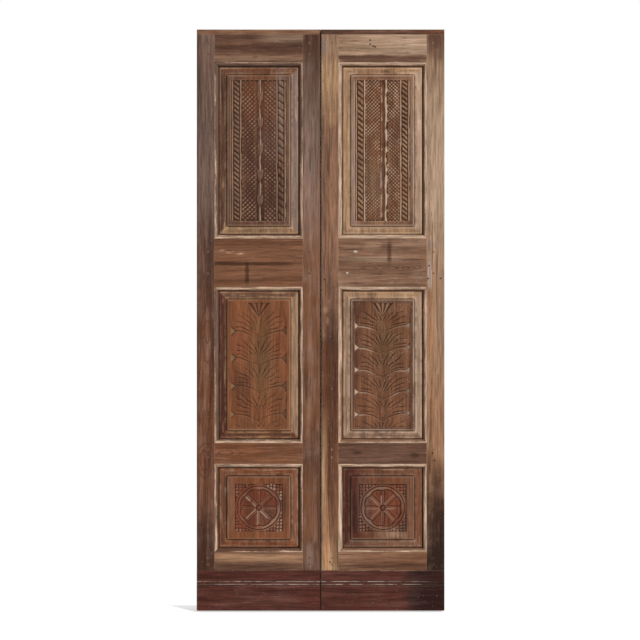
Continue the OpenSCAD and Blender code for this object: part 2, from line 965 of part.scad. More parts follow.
module jamb()
{
    mortise_y = (frame_d - frame_tenon_t - joint_fit) / 2;
    mortise_l = frame_tenon_l + joint_fit;
    color(frame_brown)
        difference() {
            cube([jamb_w, frame_d, frame_h]);
            for (row = [[0, sill_h], [frame_h - head_h, head_h]]) {
                translate([jamb_w - mortise_l, mortise_y, row[0] + frame_shoulder - joint_fit])
                    cube([mortise_l + 1, frame_tenon_t + joint_fit,
                        row[1] - 2 * frame_shoulder + 2 * joint_fit]);
                translate([frame_peg_u, -eps, row[0] + row[1] / 2])
                    frame_peg(peg_fit, eps);
            }
            translate([-jamb_setback, face_y - frame_y, floor_gap])
                for (z = hinge_zs)
                    at_hinge(z)
                        plate_pocket();
            for (z = fixing_zs)
                translate([-1, fixing_y - frame_y, z])
                    rotate([0, 90, 0])
                        cylinder(r = fixing_r, h = jamb_w + 2, $fn = 32);
        }
}

head();
sill();
frame_pegs();
for (side = SIDES) {
    on_frame(side) jamb();
    on_leaf(side) {
        hanging_stile();
        meeting_stile();
        rail(BOTTOM_RAIL);
        rail(CROSS_RAIL);
        rail(LOCK_RAIL);
        rail(TOP_RAIL);
        top_strip();
        plinth_rail();
        plinth_board();
        lower_panel();
        middle_panel(side);
        upper_panel(side);
        moulding_set(z_lower, lower_opening_h);
        moulding_set(z_middle, middle_opening_h);
        moulding_set(z_upper, upper_opening_h);
        tenon_pegs();
        dowels();
        leaf_screws();
        frame_screws();
        hinge_pins();
        for (k = [0:2]) {
            leaf_plate(hinge_zs[k]);
            frame_plate(hinge_zs[k]);
        }
    }
}
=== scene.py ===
# %% [markdown]
# # An old carved double door
#
# This lesson dresses a pair of reclaimed doors. The packed model already holds every plank, panel, hinge
# and screw at its real size, so the work here is finish: worn paint, bare edges, stains, and carving that
# is finer than the flat-faced carving of the solids.
#
# The first step loads that model and keeps its box, so that the last step can show that nothing has
# grown.

# %% Load the packed model
import math
from collections import namedtuple

import bpy
import numpy as np
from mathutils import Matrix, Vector


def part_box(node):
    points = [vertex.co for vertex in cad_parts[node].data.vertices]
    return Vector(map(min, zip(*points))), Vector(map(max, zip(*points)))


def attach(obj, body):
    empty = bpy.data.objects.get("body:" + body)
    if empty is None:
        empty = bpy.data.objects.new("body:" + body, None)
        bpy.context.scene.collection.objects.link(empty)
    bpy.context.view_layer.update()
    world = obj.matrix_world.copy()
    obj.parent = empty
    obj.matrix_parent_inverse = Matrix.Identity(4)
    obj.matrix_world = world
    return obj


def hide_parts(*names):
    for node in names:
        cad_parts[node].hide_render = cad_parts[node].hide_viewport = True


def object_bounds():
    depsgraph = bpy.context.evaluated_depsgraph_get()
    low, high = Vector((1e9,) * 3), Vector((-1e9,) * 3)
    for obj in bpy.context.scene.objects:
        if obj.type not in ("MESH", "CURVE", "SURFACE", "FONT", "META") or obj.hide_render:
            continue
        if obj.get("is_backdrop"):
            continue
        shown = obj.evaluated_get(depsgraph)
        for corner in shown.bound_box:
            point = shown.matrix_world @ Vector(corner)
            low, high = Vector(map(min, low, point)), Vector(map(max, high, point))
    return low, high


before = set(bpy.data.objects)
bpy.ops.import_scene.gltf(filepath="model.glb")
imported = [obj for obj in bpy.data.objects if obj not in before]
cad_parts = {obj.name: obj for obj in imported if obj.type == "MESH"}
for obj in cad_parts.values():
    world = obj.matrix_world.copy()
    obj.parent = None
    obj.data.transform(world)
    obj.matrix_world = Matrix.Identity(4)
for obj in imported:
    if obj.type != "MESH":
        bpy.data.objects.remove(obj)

MM = 0.001
cad_low, cad_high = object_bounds()
print("pieces in the model:", len(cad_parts))
print("size in metres:", [round(v, 4) for v in cad_high - cad_low])

# %% [markdown]
# ## A small palette
#
# Old paint looks rich because a few colours overlap, not because there are many. Every finish below is
# mixed from these names. They are written as screen colours, from 0 to 255, which are easy to read off a
# colour picker, and are turned into the linear values that the renderer works in.

# %% Palette
PALETTE = {
    "soot": (42, 27, 20),
    "umber": (80, 52, 40),
    "walnut": (99, 69, 54),
    "mauve_brown": (108, 83, 71),
    "chestnut": (119, 79, 56),
    "rust": (124, 76, 49),
    "russet": (108, 67, 45),
    "brick": (117, 64, 44),
    "olive": (108, 82, 54),
    "clay": (131, 96, 75),
    "honey": (152, 111, 82),
    "tan": (158, 125, 99),
    "straw": (182, 144, 108),
    "pale_tan": (176, 146, 121),
    "bare_wood": (204, 174, 150),
    "pink_grey": (146, 121, 110),
    "red_oxide": (80, 42, 34),
    "oxide_black": (46, 23, 20),
    "residue": (214, 201, 188),
    "iron": (56, 50, 46),
    "iron_rust": (98, 60, 40),
}


def colour(name):
    """A palette colour as linear RGBA."""
    shares = [value / 255 for value in PALETTE[name]]
    linear = [s / 12.92 if s <= 0.04045 else ((s + 0.055) / 1.055) ** 2.4 for s in shares]
    return (*linear, 1.0)


print("palette:", ", ".join(PALETTE))

# %% [markdown]
# ## Camera
#
# The photograph looks straight at the door from far off, so edges stay parallel. A long lens a few metres
# away does that. The view is as high as the door's height asks for: the leaves fill 581 of the picture's
# 640 pixels. The camera stands a little to the right, so that nobody looks straight through the gap
# between the leaves, and a small lens shift puts the door back in the middle.

# %% Camera
PICTURE_PX = 640
LEAF_HEIGHT_PX = 581
CAMERA_DISTANCE = 6.0
CAMERA_STEP = 0.16
DOOR_RIGHT_PX = 0.6

leaf_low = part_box("left_plinth_board")[0]
leaf_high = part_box("right_top_strip")[1]
face_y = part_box("left_hanging_stile")[0].y
seen = (leaf_high.z - leaf_low.z) * PICTURE_PX / LEAF_HEIGHT_PX


def show(name, data):
    """A new object that shows data in the scene."""
    thing = bpy.data.objects.new(name, data)
    bpy.context.collection.objects.link(thing)
    return thing


camera_data = bpy.data.cameras.new("camera")
camera_data.lens = camera_data.sensor_width * CAMERA_DISTANCE / seen
camera_data.shift_x = -CAMERA_STEP / seen - DOOR_RIGHT_PX / PICTURE_PX
camera = show("camera", camera_data)
camera.location = (CAMERA_STEP, face_y - CAMERA_DISTANCE, (leaf_low.z + leaf_high.z) / 2)
camera.rotation_euler = (math.pi / 2, 0, 0)
bpy.context.scene.camera = camera
print("lens:", round(camera_data.lens, 1), "mm")

# %% [markdown]
# ## Light, background and floor
#
# In the photograph the shadows fall down and to the left, so the main light stands up and to the right. A
# sun lamp with a wide angle is an even, soft source. The white world fills the shadows. Rays that come
# from the camera see the world at strength 1, which is plain white, while the light that it sheds is
# weaker.
#
# The floor ends just behind the door, so the long shadow behind it has nothing to fall on, and a little
# glow of its own keeps the floor as white as the background.

# %% Light and background
SUN_STRENGTH = 2.75
FILL_STRENGTH = 0.3
SUN_ANGLE = math.radians(4)
SUN_FROM = Vector((0.82, -1.0, 0.55))
WHITE = (1, 1, 1, 1)

sun_data = bpy.data.lights.new("sun", "SUN")
sun_data.energy = SUN_STRENGTH
sun_data.angle = SUN_ANGLE
sun = show("sun", sun_data)
sun.rotation_euler = SUN_FROM.to_track_quat("Z", "Y").to_euler()

scene = bpy.context.scene
scene.view_settings.view_transform = "Standard"
world = bpy.data.worlds.new("studio")
world.use_nodes = True
scene.world = world
sky = world.node_tree.nodes["Background"]
sky.inputs["Color"].default_value = WHITE


def shown_strength(tree, shed, shown):
    """A strength that is shown where the eye, a gloss or a glass looks, and shed everywhere else."""
    rays = tree.nodes.new("ShaderNodeLightPath").outputs
    looks = rays["Is Camera Ray"]
    for kind in ("Is Glossy Ray", "Is Transmission Ray"):
        either = tree.nodes.new("ShaderNodeMath")
        either.operation = "MAXIMUM"
        tree.links.new(looks, either.inputs[0])
        tree.links.new(rays[kind], either.inputs[1])
        looks = either.outputs[0]
    strength = tree.nodes.new("ShaderNodeMix")
    strength.inputs["A"].default_value = shed
    strength.inputs["B"].default_value = shown
    tree.links.new(looks, strength.inputs["Factor"])
    return strength.outputs["Result"]


world.node_tree.links.new(shown_strength(world.node_tree, FILL_STRENGTH, 1.0), sky.inputs["Strength"])
print("sun comes from:", [round(v, 2) for v in SUN_FROM.normalized()])

# %% Floor
FLOOR_GLOW = 0.55
FLOOR_WHITE = (0.9, 0.9, 0.9, 1)
FLOOR_HALF_WIDTH = 1.6
FLOOR_FRONT = -2.4
FLOOR_BACK = cad_high.y + 0.03

floor_mesh = bpy.data.meshes.new("floor")
floor_mesh.from_pydata(
    [(-FLOOR_HALF_WIDTH, FLOOR_FRONT, 0), (FLOOR_HALF_WIDTH, FLOOR_FRONT, 0),
     (FLOOR_HALF_WIDTH, FLOOR_BACK, 0), (-FLOOR_HALF_WIDTH, FLOOR_BACK, 0)],
    [], [(0, 1, 2, 3)])
floor_paint = bpy.data.materials.new("floor_white")
floor_paint.use_nodes = True
floor_inputs = floor_paint.node_tree.nodes["Principled BSDF"].inputs
floor_inputs["Base Color"].default_value = FLOOR_WHITE
floor_inputs["Roughness"].default_value = 1.0
floor_inputs["Specular IOR Level"].default_value = 0.0
floor_inputs["Emission Color"].default_value = WHITE
floor_glow = shown_strength(floor_paint.node_tree, 0.0, FLOOR_GLOW)
floor_paint.node_tree.links.new(floor_glow, floor_inputs["Emission Strength"])
floor_mesh.materials.append(floor_paint)
floor = show("floor", floor_mesh)
floor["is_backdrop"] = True
print("floor ends at y =", round(FLOOR_BACK, 3))

# %% [markdown]
# ## A helper for node materials
#
# Node trees are quick to draw by hand and slow to write in code. This helper keeps the code short: each
# call adds a node, joins what it is given, and returns the socket that the next call needs. A plain
# number or colour goes into the socket as it is.
#
# Every pattern reads the object's own coordinates. All the pieces keep their place in one frame, in
# metres, so a position in the code is a position on the door, and the pattern stays on a leaf when the
# leaf swings open.

# %% Node helper
ROUGH_SPREAD = 0.2
ROUGH_FADE = (0.35, 0.7)
SHEEN = 0.08
EDGE_FADE = (0.995, 0.86)
CREVICE_FADE = (0.8, 0.35)


class Paint:
    """A material with one shader, built by short calls that return sockets."""

    def __init__(self, name, roughness):
        self.material = bpy.data.materials.new(name)
        self.material.use_nodes = True
        self.tree = self.material.node_tree
        self.shader = self.tree.nodes["Principled BSDF"]
        self.roughness = roughness
        self.shader.inputs["Specular IOR Level"].default_value = SHEEN
        self.place = self.add("ShaderNodeTexCoord").outputs["Object"]

    def feed(self, socket, value):
        """Joins a socket to another one, or gives it a number, a colour or a vector."""
        if isinstance(value, bpy.types.NodeSocket):
            self.tree.links.new(value, socket)
        else:
            socket.default_value = value

    def add(self, kind, feeds=None, **settings):
        """A new node with its own settings. feeds says what goes into which input."""
        node = self.tree.nodes.new(kind)
        for key, value in settings.items():
            setattr(node, key, value)
        for key, value in (feeds or {}).items():
            self.feed(node.inputs[key], value)
        return node

    def stretch(self, scale, shift):
        """The place, scaled along each axis and moved by shift metres."""
        feeds = {"Vector": self.place, "Scale": scale, "Location": (shift, 2 * shift, 3 * shift)}
        return self.add("ShaderNodeMapping", feeds).outputs["Vector"]

    def noise(self, place, scale, detail, roughness, distortion=0.0):
        """A soft random pattern, mostly between 0.3 and 0.7."""
        feeds = {"Vector": place, "Scale": scale, "Detail": detail, "Roughness": roughness,
                 "Distortion": distortion}
        return self.add("ShaderNodeTexNoise", feeds).outputs["Fac"]

    def calc(self, kind, a, b=0.0):
        """One step of arithmetic, such as ADD or POWER."""
        return self.add("ShaderNodeMath", {0: a, 1: b}, operation=kind).outputs[0]

    def times(self, a, b):
        """The product of two values."""
        return self.calc("MULTIPLY", a, b)

    def blend(self, first, *others):
        """A weighted sum. Each part is (value, weight)."""
        total = self.times(*first)
        for part in others:
            total = self.calc("ADD", total, self.times(*part))
        return total

    def fade(self, value, low, high, bottom=0.0, top=1.0):
        """Goes softly from bottom to top as value goes from low to high."""
        feeds = {"Value": value, "From Min": low, "From Max": high, "To Min": bottom, "To Max": top}
        return self.add("ShaderNodeMapRange", feeds, interpolation_type="SMOOTHSTEP").outputs["Result"]

    def mix(self, share, a, b):
        """Colour a, with b laid over it by share."""
        under, over = [colour(tone) if isinstance(tone, str) else tone for tone in (a, b)]
        return self.add("ShaderNodeMix", {"Factor": share, 6: under, 7: over}, data_type="RGBA").outputs[2]

    def brighten(self, tint, factor):
        """The colour times a number."""
        return self.add("ShaderNodeVectorMath", {0: tint, "Scale": factor}, operation="SCALE").outputs[0]

    def axes(self):
        """The place's X, Y and Z."""
        return self.add("ShaderNodeSeparateXYZ", {0: self.place}).outputs

    def stored(self, name):
        """A number that the mesh keeps at each point."""
        return self.add("ShaderNodeAttribute", attribute_name=name).outputs["Fac"]

    def edges(self, radius):
        """1 on sharp edges, 0 on flat wood."""
        rounded = self.add("ShaderNodeBevel", {"Radius": radius}, samples=4).outputs["Normal"]
        flat = self.add("ShaderNodeNewGeometry").outputs["Normal"]
        alike = self.add("ShaderNodeVectorMath", {0: rounded, 1: flat}, operation="DOT_PRODUCT")
        return self.fade(alike.outputs["Value"], *EDGE_FADE)

    def crevice_shade(self, distance):
        """1 deep in joints and corners, 0 in the open. It marks where painted shade goes."""
        node = self.add("ShaderNodeAmbientOcclusion", {"Distance": distance}, samples=6)
        return self.fade(node.outputs["AO"], *CREVICE_FADE)

    def ramp(self, value, stops):
        """Palette colours along value. Each stop is (position, name)."""
        low, high = stops[0][0], stops[-1][0]
        scaled = self.add("ShaderNodeMapRange", {"Value": value, "From Min": low, "From Max": high})
        node = self.add("ShaderNodeValToRGB", {"Fac": scaled.outputs["Result"]})
        made = node.color_ramp.elements
        made[0].color, made[1].color = colour(stops[0][1]), colour(stops[-1][1])
        for at, name in stops[1:-1]:
            made.new((at - low) / (high - low)).color = colour(name)
        return node.outputs["Color"]

    def finish(self, tint, height, bump=0.3, depth=1.5 * MM, matt=None):
        """Joins colour, bump and roughness to the shader. Where matt runs high the surface is rougher."""
        bumped = self.add("ShaderNodeBump", {"Strength": bump, "Distance": depth, "Height": height})
        matt = height if matt is None else matt
        low, high = self.roughness - ROUGH_SPREAD, self.roughness + ROUGH_SPREAD
        rough = self.fade(matt, *ROUGH_FADE, low, high)
        joins = {"Base Color": tint, "Normal": bumped.outputs["Normal"], "Roughness": rough}
        for key, value in joins.items():
            self.feed(self.shader.inputs[key], value)
        return self.material


print("the helper offers:", ", ".join(name for name in vars(Paint) if not name.startswith("_")))

# %% [markdown]
# ## Marks on the wood
#
# Stains, knots and nail holes are all marks: a box or an oval on the door's face, with a middle and half
# sizes in millimetres, and a colour. A broad noise pushes the outline about, so that it is ragged, and
# the mark is kept to the front of the leaves, because the colours run right through a plank otherwise.

# %% Marks
BOX = 4.0
OVAL = 2.0
FRONT_DEEP = 26 * MM
GAP_SQUEEZE = 0.25
GAP_SHIFT = 7.0
KNOT_BEND = 3.0
KNOT_RINGS = 5.5
KNOT_FADE = (4.0, 1.5)

# The first four are in millimetres. soft is how far the outline fades, ragged how far the noise pushes it.
Mark = namedtuple("Mark", "x z half_x half_z tone share soft ragged power broken",
                  defaults=(0.9, 2.0, BOX, False))


def outline_distance(paint, mark):
    """0 in the middle of a mark, 1 on its outline, more outside. A low power rounds its corners."""
    x, _, z = paint.axes()
    shares = []
    for axis, middle, half in ((x, mark.x, mark.half_x), (z, mark.z, mark.half_z)):
        off = paint.calc("DIVIDE", paint.calc("SUBTRACT", axis, middle * MM), half * MM)
        shares.append(paint.calc("POWER", paint.calc("ABSOLUTE", off), mark.power))
    return paint.calc("POWER", paint.calc("ADD", *shares), 1 / mark.power)


def on_front(paint, mask):
    """The mask, kept to the front of the leaves."""
    back, front = face_y + FRONT_DEEP, face_y + FRONT_DEEP / 2
    return paint.times(mask, paint.fade(paint.axes()["Y"], back, front))


def stain_mask(paint, mark, rough):
    """The mark's share inside its soft, ragged outline, 0 outside and on the back."""
    push = paint.times(paint.calc("SUBTRACT", rough, 0.5), mark.ragged)
    far = paint.calc("ADD", outline_distance(paint, mark), push)
    mask = paint.fade(far, 1 + mark.soft, 1 - mark.soft, 0.0, mark.share)
    if mark.broken:
        gaps = paint.noise(paint.stretch((GAP_SQUEEZE, 1, 1), GAP_SHIFT), 110, 4, 0.7)
        mask = paint.times(mask, paint.fade(gaps, 0.4, 0.55))
    return on_front(paint, mask)


def lay(paint, tint, marks, rough):
    """The tint, with marks laid over it one after another."""
    for mark in marks:
        tint = paint.mix(stain_mask(paint, mark, rough), tint, mark.tone)
    return tint


def knot_lines(paint, knot, rough):
    """Year rings that run round a knot, in a long oval that fades out."""
    far = outline_distance(paint, knot)
    bent = paint.calc("ADD", far, paint.times(rough, KNOT_BEND))
    rings = paint.fade(paint.calc("SINE", paint.times(bent, KNOT_RINGS)), 0.2, 0.9)
    return on_front(paint, paint.times(rings, paint.fade(far, *KNOT_FADE, 0.0, knot.share)))


print("a mark holds:", ", ".join(Mark._fields))

# %% [markdown]
# ## Aged wood
#
# One recipe serves all the planks. Paint fades along a plank, so its tone is a ramp along the grain,
# pushed about by a broad noise. Fibres are a fine noise that is stretched along the grain. Dust and wear
# come where the noises run high, pale edges come where hands and weather reach, and flecks of an older
# pale paint stay behind.

# %% Noises of the wood
GRAIN_SQUEEZE = 0.06
EVEN = (1, 1, 1)
# Each noise is its scale, its detail, its roughness and, for the bands, its distortion.
FIBRES = (190, 5, 0.6)
BANDS = (45, 3, 0.5, 0.3)
SPECKS = (260, 3, 0.65)


def grain_place(paint, along, shift, squeeze=GRAIN_SQUEEZE):
    """The place, squeezed along the grain, so that a noise comes out as fibres."""
    return paint.stretch((squeeze, 1, 1) if along == "x" else (1, 1, squeeze), shift)


def wood_noises(paint, along, shift, fine_squeeze, blot_scale, fleck_squeeze):
    """Fine lines, fibres, bands, blots and flecks, which all the wood is made of."""
    fine = paint.noise(grain_place(paint, along, shift, fine_squeeze), *SPECKS)
    fibre_place = grain_place(paint, along, shift)
    fibres, bands = paint.noise(fibre_place, *FIBRES), paint.noise(fibre_place, *BANDS)
    blots = paint.noise(paint.stretch(EVEN, shift), blot_scale, 6, 0.62)
    flecks = paint.noise(paint.stretch((1, 1, fleck_squeeze), shift), *SPECKS)
    return fine, fibres, bands, blots, flecks


def light_fibres(paint, tint, fine, fibres, bands, dark, light):
    """The tint, darker and lighter along the fibres, and the pattern that does it."""
    lit = paint.blend((fibres, 0.6), (bands, 0.6))
    tint = paint.brighten(tint, paint.fade(lit, 0.42, 0.8, dark, light))
    return paint.brighten(tint, paint.fade(fine, 0.33, 0.67, 0.8, 1.2)), lit


print("grain is stretched", round(1 / GRAIN_SQUEEZE), "times along each plank")

# %% Aged wood
SEAM_SHADOW_HALF = 2.4 * MM
EDGE_REACH = 3.5 * MM
EDGE_SHARE = 0.35
JOINT_REACH = 7 * MM
KNOT_SHARE = 0.6
HOLE_HALF = 3
TONE_PUSH = 0.3


def aged_wood(name, along, tones, shift, dust="pink_grey", dust_share=0.4, wear=0.3, residue=0.3,
              contrast=0.34, stains=(), holes=(), knots=(), seam_shadow=0.92):
    """Worn paint on a plank. tones is [(metres along the grain, palette name)]."""
    paint = Paint(name, roughness=0.6)
    fine, fibres, bands, blots, flecks = wood_noises(
        paint, along, shift, fine_squeeze=0.04, blot_scale=12, fleck_squeeze=0.6)
    push = paint.times(paint.calc("SUBTRACT", blots, 0.5), TONE_PUSH)
    tint = paint.ramp(paint.calc("ADD", paint.axes()[along.upper()], push), tones)

    haze = paint.blend((blots, 0.6), (bands, 0.4))
    tint = paint.mix(paint.fade(haze, 0.44, 0.66, 0.0, dust_share), tint, dust)
    rubbed = paint.blend((blots, 0.45), (fibres, 0.55))
    tint = paint.mix(paint.fade(rubbed, 0.6 - 0.1 * wear, 0.72 - 0.1 * wear, 0.0, wear), tint, "tan")
    tint = lay(paint, tint, stains, haze)
    tint, lit = light_fibres(paint, tint, fine, fibres, bands, dark=1 - contrast, light=1 + 0.75 * contrast)
    pores = paint.noise(grain_place(paint, along, 5 * shift, 0.1), 210, 2, 0.5)
    tint = paint.mix(paint.fade(pores, 0.36, 0.28, 0.0, 0.55), tint, "soot")
    for knot in knots:
        rings = knot_lines(paint, Mark(*knot, "umber", KNOT_SHARE, power=OVAL), blots)
        tint = paint.mix(rings, tint, "umber")

    arris = paint.times(paint.edges(EDGE_REACH), paint.fade(flecks, 0.36, 0.56))
    tint = paint.mix(paint.times(arris, EDGE_SHARE), tint, "pale_tan")
    scuffs = paint.noise(grain_place(paint, along, 3 * shift, 0.3), 170, 4, 0.7)
    marks = paint.calc("MAXIMUM", paint.fade(flecks, 0.66, 0.74), paint.fade(scuffs, 0.67, 0.75, 0.0, 0.7))
    tint = paint.mix(paint.times(marks, residue), tint, "residue")
    cracks = paint.fade(paint.noise(grain_place(paint, along, shift), 80, 2, 0.4), 0.35, 0.3)
    tint = paint.mix(paint.times(cracks, 0.4), tint, "soot")
    bored = [Mark(*hole, HOLE_HALF, HOLE_HALF, "soot", share=0.9, soft=0.3, ragged=0.0) for hole in holes]
    tint = lay(paint, tint, bored, haze)
    # Painted shade: a dark strip down the gap between the leaves, and darkening in joints and corners.
    gap = paint.fade(paint.calc("ABSOLUTE", paint.axes()["X"]), 1.5 * SEAM_SHADOW_HALF, SEAM_SHADOW_HALF, 0.0, seam_shadow)
    dirt_and_shade = paint.calc("MAXIMUM", gap, paint.times(paint.crevice_shade(JOINT_REACH), 0.7))
    tint = paint.mix(dirt_and_shade, tint, "soot")
    relief = paint.calc("SUBTRACT", lit, paint.times(cracks, 0.5))
    return paint.finish(tint, relief, 0.35, matt=haze)


print("the dark seam between the leaves is", round(2 * SEAM_SHADOW_HALF / MM, 1), "mm wide")

# %% [markdown]
# ## The planks of the leaves
#
# Each plank has lived its own life, so each gets its own row of tones. The stiles' tones run up from the
# floor, the rails' tones run from left to right. Their sharp edges are softened by a small bevel, which
# also draws the fine dark line of every joint.

# %% Looks of the stiles
STILE_DIRT = Mark(450, 250, 60, 200, "soot", 0.6, 0.8)
PLANKS = {
    "left_hanging_stile": dict(
        dust_share=0.22, contrast=0.45, wear=0.15,
        tones=[(0.1, "umber"), (0.3, "umber"), (0.45, "russet"), (1.0, "russet"), (1.2, "walnut"),
               (1.45, "mauve_brown"), (2.1, "mauve_brown")],
        knots=[(-425, 560, 12, 30), (-415, 1020, 10, 50)],
        stains=[Mark(-425, 1680, 22, 160, "pink_grey", 0.4, ragged=4.0),
                Mark(-430, 1280, 5, 30, "pink_grey", 0.5, 0.5, 8.0),
                Mark(-430, 1250, 30, 130, "umber", 0.55),
                Mark(-394, 1000, 8, 130, "soot", 0.5),
                Mark(-400, 500, 22, 140, "umber", 0.6),
                # This last mark, down the leaf's whole left edge, is painted shade.
                Mark(-455, 1100, 6, 1100, "soot", 0.6, 0.8)]),
    "left_meeting_stile": dict(
        contrast=0.25,
        tones=[(0.15, "walnut"), (0.28, "chestnut"), (0.45, "chestnut"), (0.56, "walnut"),
               (0.7, "chestnut"), (1.3, "chestnut"), (1.5, "clay"), (1.8, "mauve_brown"), (2.1, "umber")],
        stains=[Mark(-40, 200, 12, 35, "pink_grey", 0.6, 0.8, 5.0, OVAL),
                Mark(-35, 1600, 24, 200, "pink_grey", 0.5, ragged=4.0),
                Mark(-8, 360, 14, 240, "umber", 0.6)]),
    "right_meeting_stile": dict(
        dust="honey", dust_share=0.3, residue=0.45, contrast=0.4,
        tones=[(0.1, "straw"), (0.26, "honey"), (0.42, "chestnut"), (0.6, "russet"), (0.9, "russet"),
               (1.02, "walnut"), (1.28, "clay"), (1.78, "clay"), (1.95, "straw"), (2.1, "tan")],
        stains=[Mark(14, 2080, 12, 30, "pink_grey", 0.8, 0.45),
                Mark(42, 660, 22, 300, "umber", 0.6, 0.8, 3.0),
                Mark(6, 500, 13, 160, "straw", 0.75),
                Mark(17, 1110, 8, 12, "tan", 0.7, 0.7, power=OVAL),
                Mark(24, 1070, 6, 11, "tan", 0.55, 0.8, power=OVAL)],
        holes=[(14, 1221), (35, 184)]),
    "right_hanging_stile": dict(
        dust="pale_tan", dust_share=0.25, residue=0.4, contrast=0.3,
        tones=[(0.1, "soot"), (0.35, "umber"), (0.6, "honey"), (1.2, "honey"), (1.45, "pale_tan"),
               (1.8, "pale_tan"), (2.0, "tan"), (2.1, "walnut")],
        stains=[STILE_DIRT,
                Mark(438, 1120, 18, 260, "pale_tan", 0.5),
                Mark(408, 1350, 16, 14, "pink_grey", 0.6, 0.45, 4.0),
                Mark(402, 1240, 6, 50, "residue", 0.4, 0.45, 5.0)],
        holes=[(398, 1272), (395, 1225), (441, 1225), (411, 584), (419, 557)]),
}
print("stiles:", len(PLANKS))

# %% Looks of the rails
PLANKS.update({
    "left_top_rail": dict(
        dust="clay", tones=[(-0.4, "walnut"), (0.0, "walnut")],
        stains=[Mark(-125, 2108, 75, 12, "pale_tan", 0.6, 0.8),
                Mark(-230, 2075, 200, 13, "umber", 0.5, 0.8),
                Mark(-230, 2033, 200, 10, "tan", 0.55, 0.7)]),
    "right_top_rail": dict(
        dust="bare_wood", dust_share=0.25, tones=[(0.0, "tan"), (0.4, "pale_tan")],
        stains=[Mark(230, 2030, 200, 14, "walnut", 0.95, 0.3)],
        holes=[(182, 2100), (182, 2085), (193, 2078), (200, 2075)]),
    "left_lock_rail": dict(
        dust="clay", dust_share=0.3, tones=[(-0.4, "chestnut"), (0.0, "chestnut")],
        stains=[Mark(-230, 1279, 165, 6.5, "soot", 0.65, 0.45, 3.0),
                Mark(-270, 1245, 7.5, 47, "soot", 0.65, 0.45, 2.5),
                *[Mark(x, z, 16, 5, "pale_tan", 0.55, 0.45, 3.0, broken=True)
                  for x, z in ((-368, 1328), (-334, 1322), (-295, 1316))]]),
    "right_lock_rail": dict(
        dust="pale_tan", residue=0.5, tones=[(0.0, "clay"), (0.4, "clay")],
        knots=[(240, 1264, 35, 5), (323, 1264, 20, 5)],
        stains=[Mark(200, 1297, 85, 8, "pale_tan", 0.65, 0.7),
                Mark(242, 1343, 22, 7, "walnut", 0.7, 0.45, 3.0),
                Mark(252, 1327, 7, 40, "umber", 0.8, 0.6),
                Mark(128, 1323, 6, 4, "residue", 0.9, 0.45),
                Mark(98, 1245, 4, 3, "residue", 0.9, 0.45)]),
    "left_cross_rail": dict(
        dust_share=0.2, tones=[(-0.4, "rust"), (0.0, "chestnut")], knots=[(-350, 585, 25, 8)]),
    "right_cross_rail": dict(
        dust_share=0.1, wear=0.15, tones=[(0.0, "walnut"), (0.4, "walnut")],
        stains=[Mark(135, 585, 15, 7, "soot", 0.6, 0.8, power=OVAL),
                Mark(345, 575, 15, 9, "soot", 0.6, 0.8, power=OVAL)]),
    "left_bottom_rail": dict(
        dust="honey", dust_share=0.5, contrast=0.4, tones=[(-0.4, "clay"), (0.0, "clay")],
        stains=[Mark(-230, 166, 200, 11, "umber", 0.65), Mark(-230, 200, 150, 11, "straw", 0.4)]),
    "right_bottom_rail": dict(
        dust="tan", dust_share=0.3, tones=[(0.0, "clay"), (0.4, "chestnut")],
        stains=[Mark(230, 166, 200, 9, "umber", 0.6)]),
    "left_top_strip": dict(dust="tan", tones=[(-0.45, "chestnut"), (0.0, "clay")]),
    "right_top_strip": dict(dust_share=0.2, tones=[(0.0, "umber"), (0.2, "walnut"), (0.45, "russet")]),
})
print("stiles and rails:", len(PLANKS))

# %% Looks of the plinths
FOOT_DIRT = Mark(450, 70, 75, 140, "oxide_black", 0.95, 0.7)
DUST_LINE = Mark(230, 153.5, 250, 1.6, "pale_tan", 0.85, 0.6, broken=True)
WORN_LINES = [Mark(0, 112.5, 500, 1.5, "residue", 0.8, 0.6, broken=True),
              Mark(0, 102.5, 500, 1.2, "residue", 0.6, 0.6, broken=True)]
PLINTH_RAIL = dict(dust_share=0.06, wear=0.05, contrast=0.45)
PLINTH_BOARD = dict(dust_share=0.1, wear=0.05, contrast=0.42)
LEFT_OXIDE = [(-0.45, "red_oxide"), (0.0, "red_oxide")]
RIGHT_OXIDE = [(0.0, "red_oxide"), (0.3, "red_oxide"), (0.37, "oxide_black")]
PLANKS.update({
    "left_plinth_rail": dict(**PLINTH_RAIL, tones=LEFT_OXIDE, stains=WORN_LINES),
    "left_plinth_board": dict(**PLINTH_BOARD, tones=LEFT_OXIDE, stains=WORN_LINES),
    "right_plinth_rail": dict(**PLINTH_RAIL, tones=RIGHT_OXIDE, stains=[*WORN_LINES, DUST_LINE, FOOT_DIRT]),
    "right_plinth_board": dict(**PLINTH_BOARD, tones=RIGHT_OXIDE, stains=[*WORN_LINES, FOOT_DIRT]),
})
print("planks:", len(PLANKS))

# %% Paint the planks
PLANK_SHIFT = 0.37
EDGE_ROUND = 1.2 * MM
WELD_REACH = 0.01 * MM
SHARP_FROM = math.radians(40)


def soften_edges(piece, width):
    """Rounds a CAD piece's sharp edges without touching its mesh."""
    weld = piece.modifiers.new("weld", "WELD")
    weld.merge_threshold = WELD_REACH
    bevel = piece.modifiers.new("round", "BEVEL")
    bevel.width = width
    bevel.segments = 2
    bevel.limit_method = "ANGLE"
    bevel.angle_limit = SHARP_FROM


def wear_material(piece, material):
    """Puts one material on all of a CAD piece."""
    piece.data.materials.clear()
    piece.data.materials.append(material)


for number, (node, look) in enumerate(PLANKS.items()):
    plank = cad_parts[node]
    soften_edges(plank, EDGE_ROUND)
    along = "z" if "stile" in node else "x"
    wear_material(plank, aged_wood(node + "_wood", along, shift=PLANK_SHIFT * (number + 1), **look))
print("planks painted:", len(PLANKS))

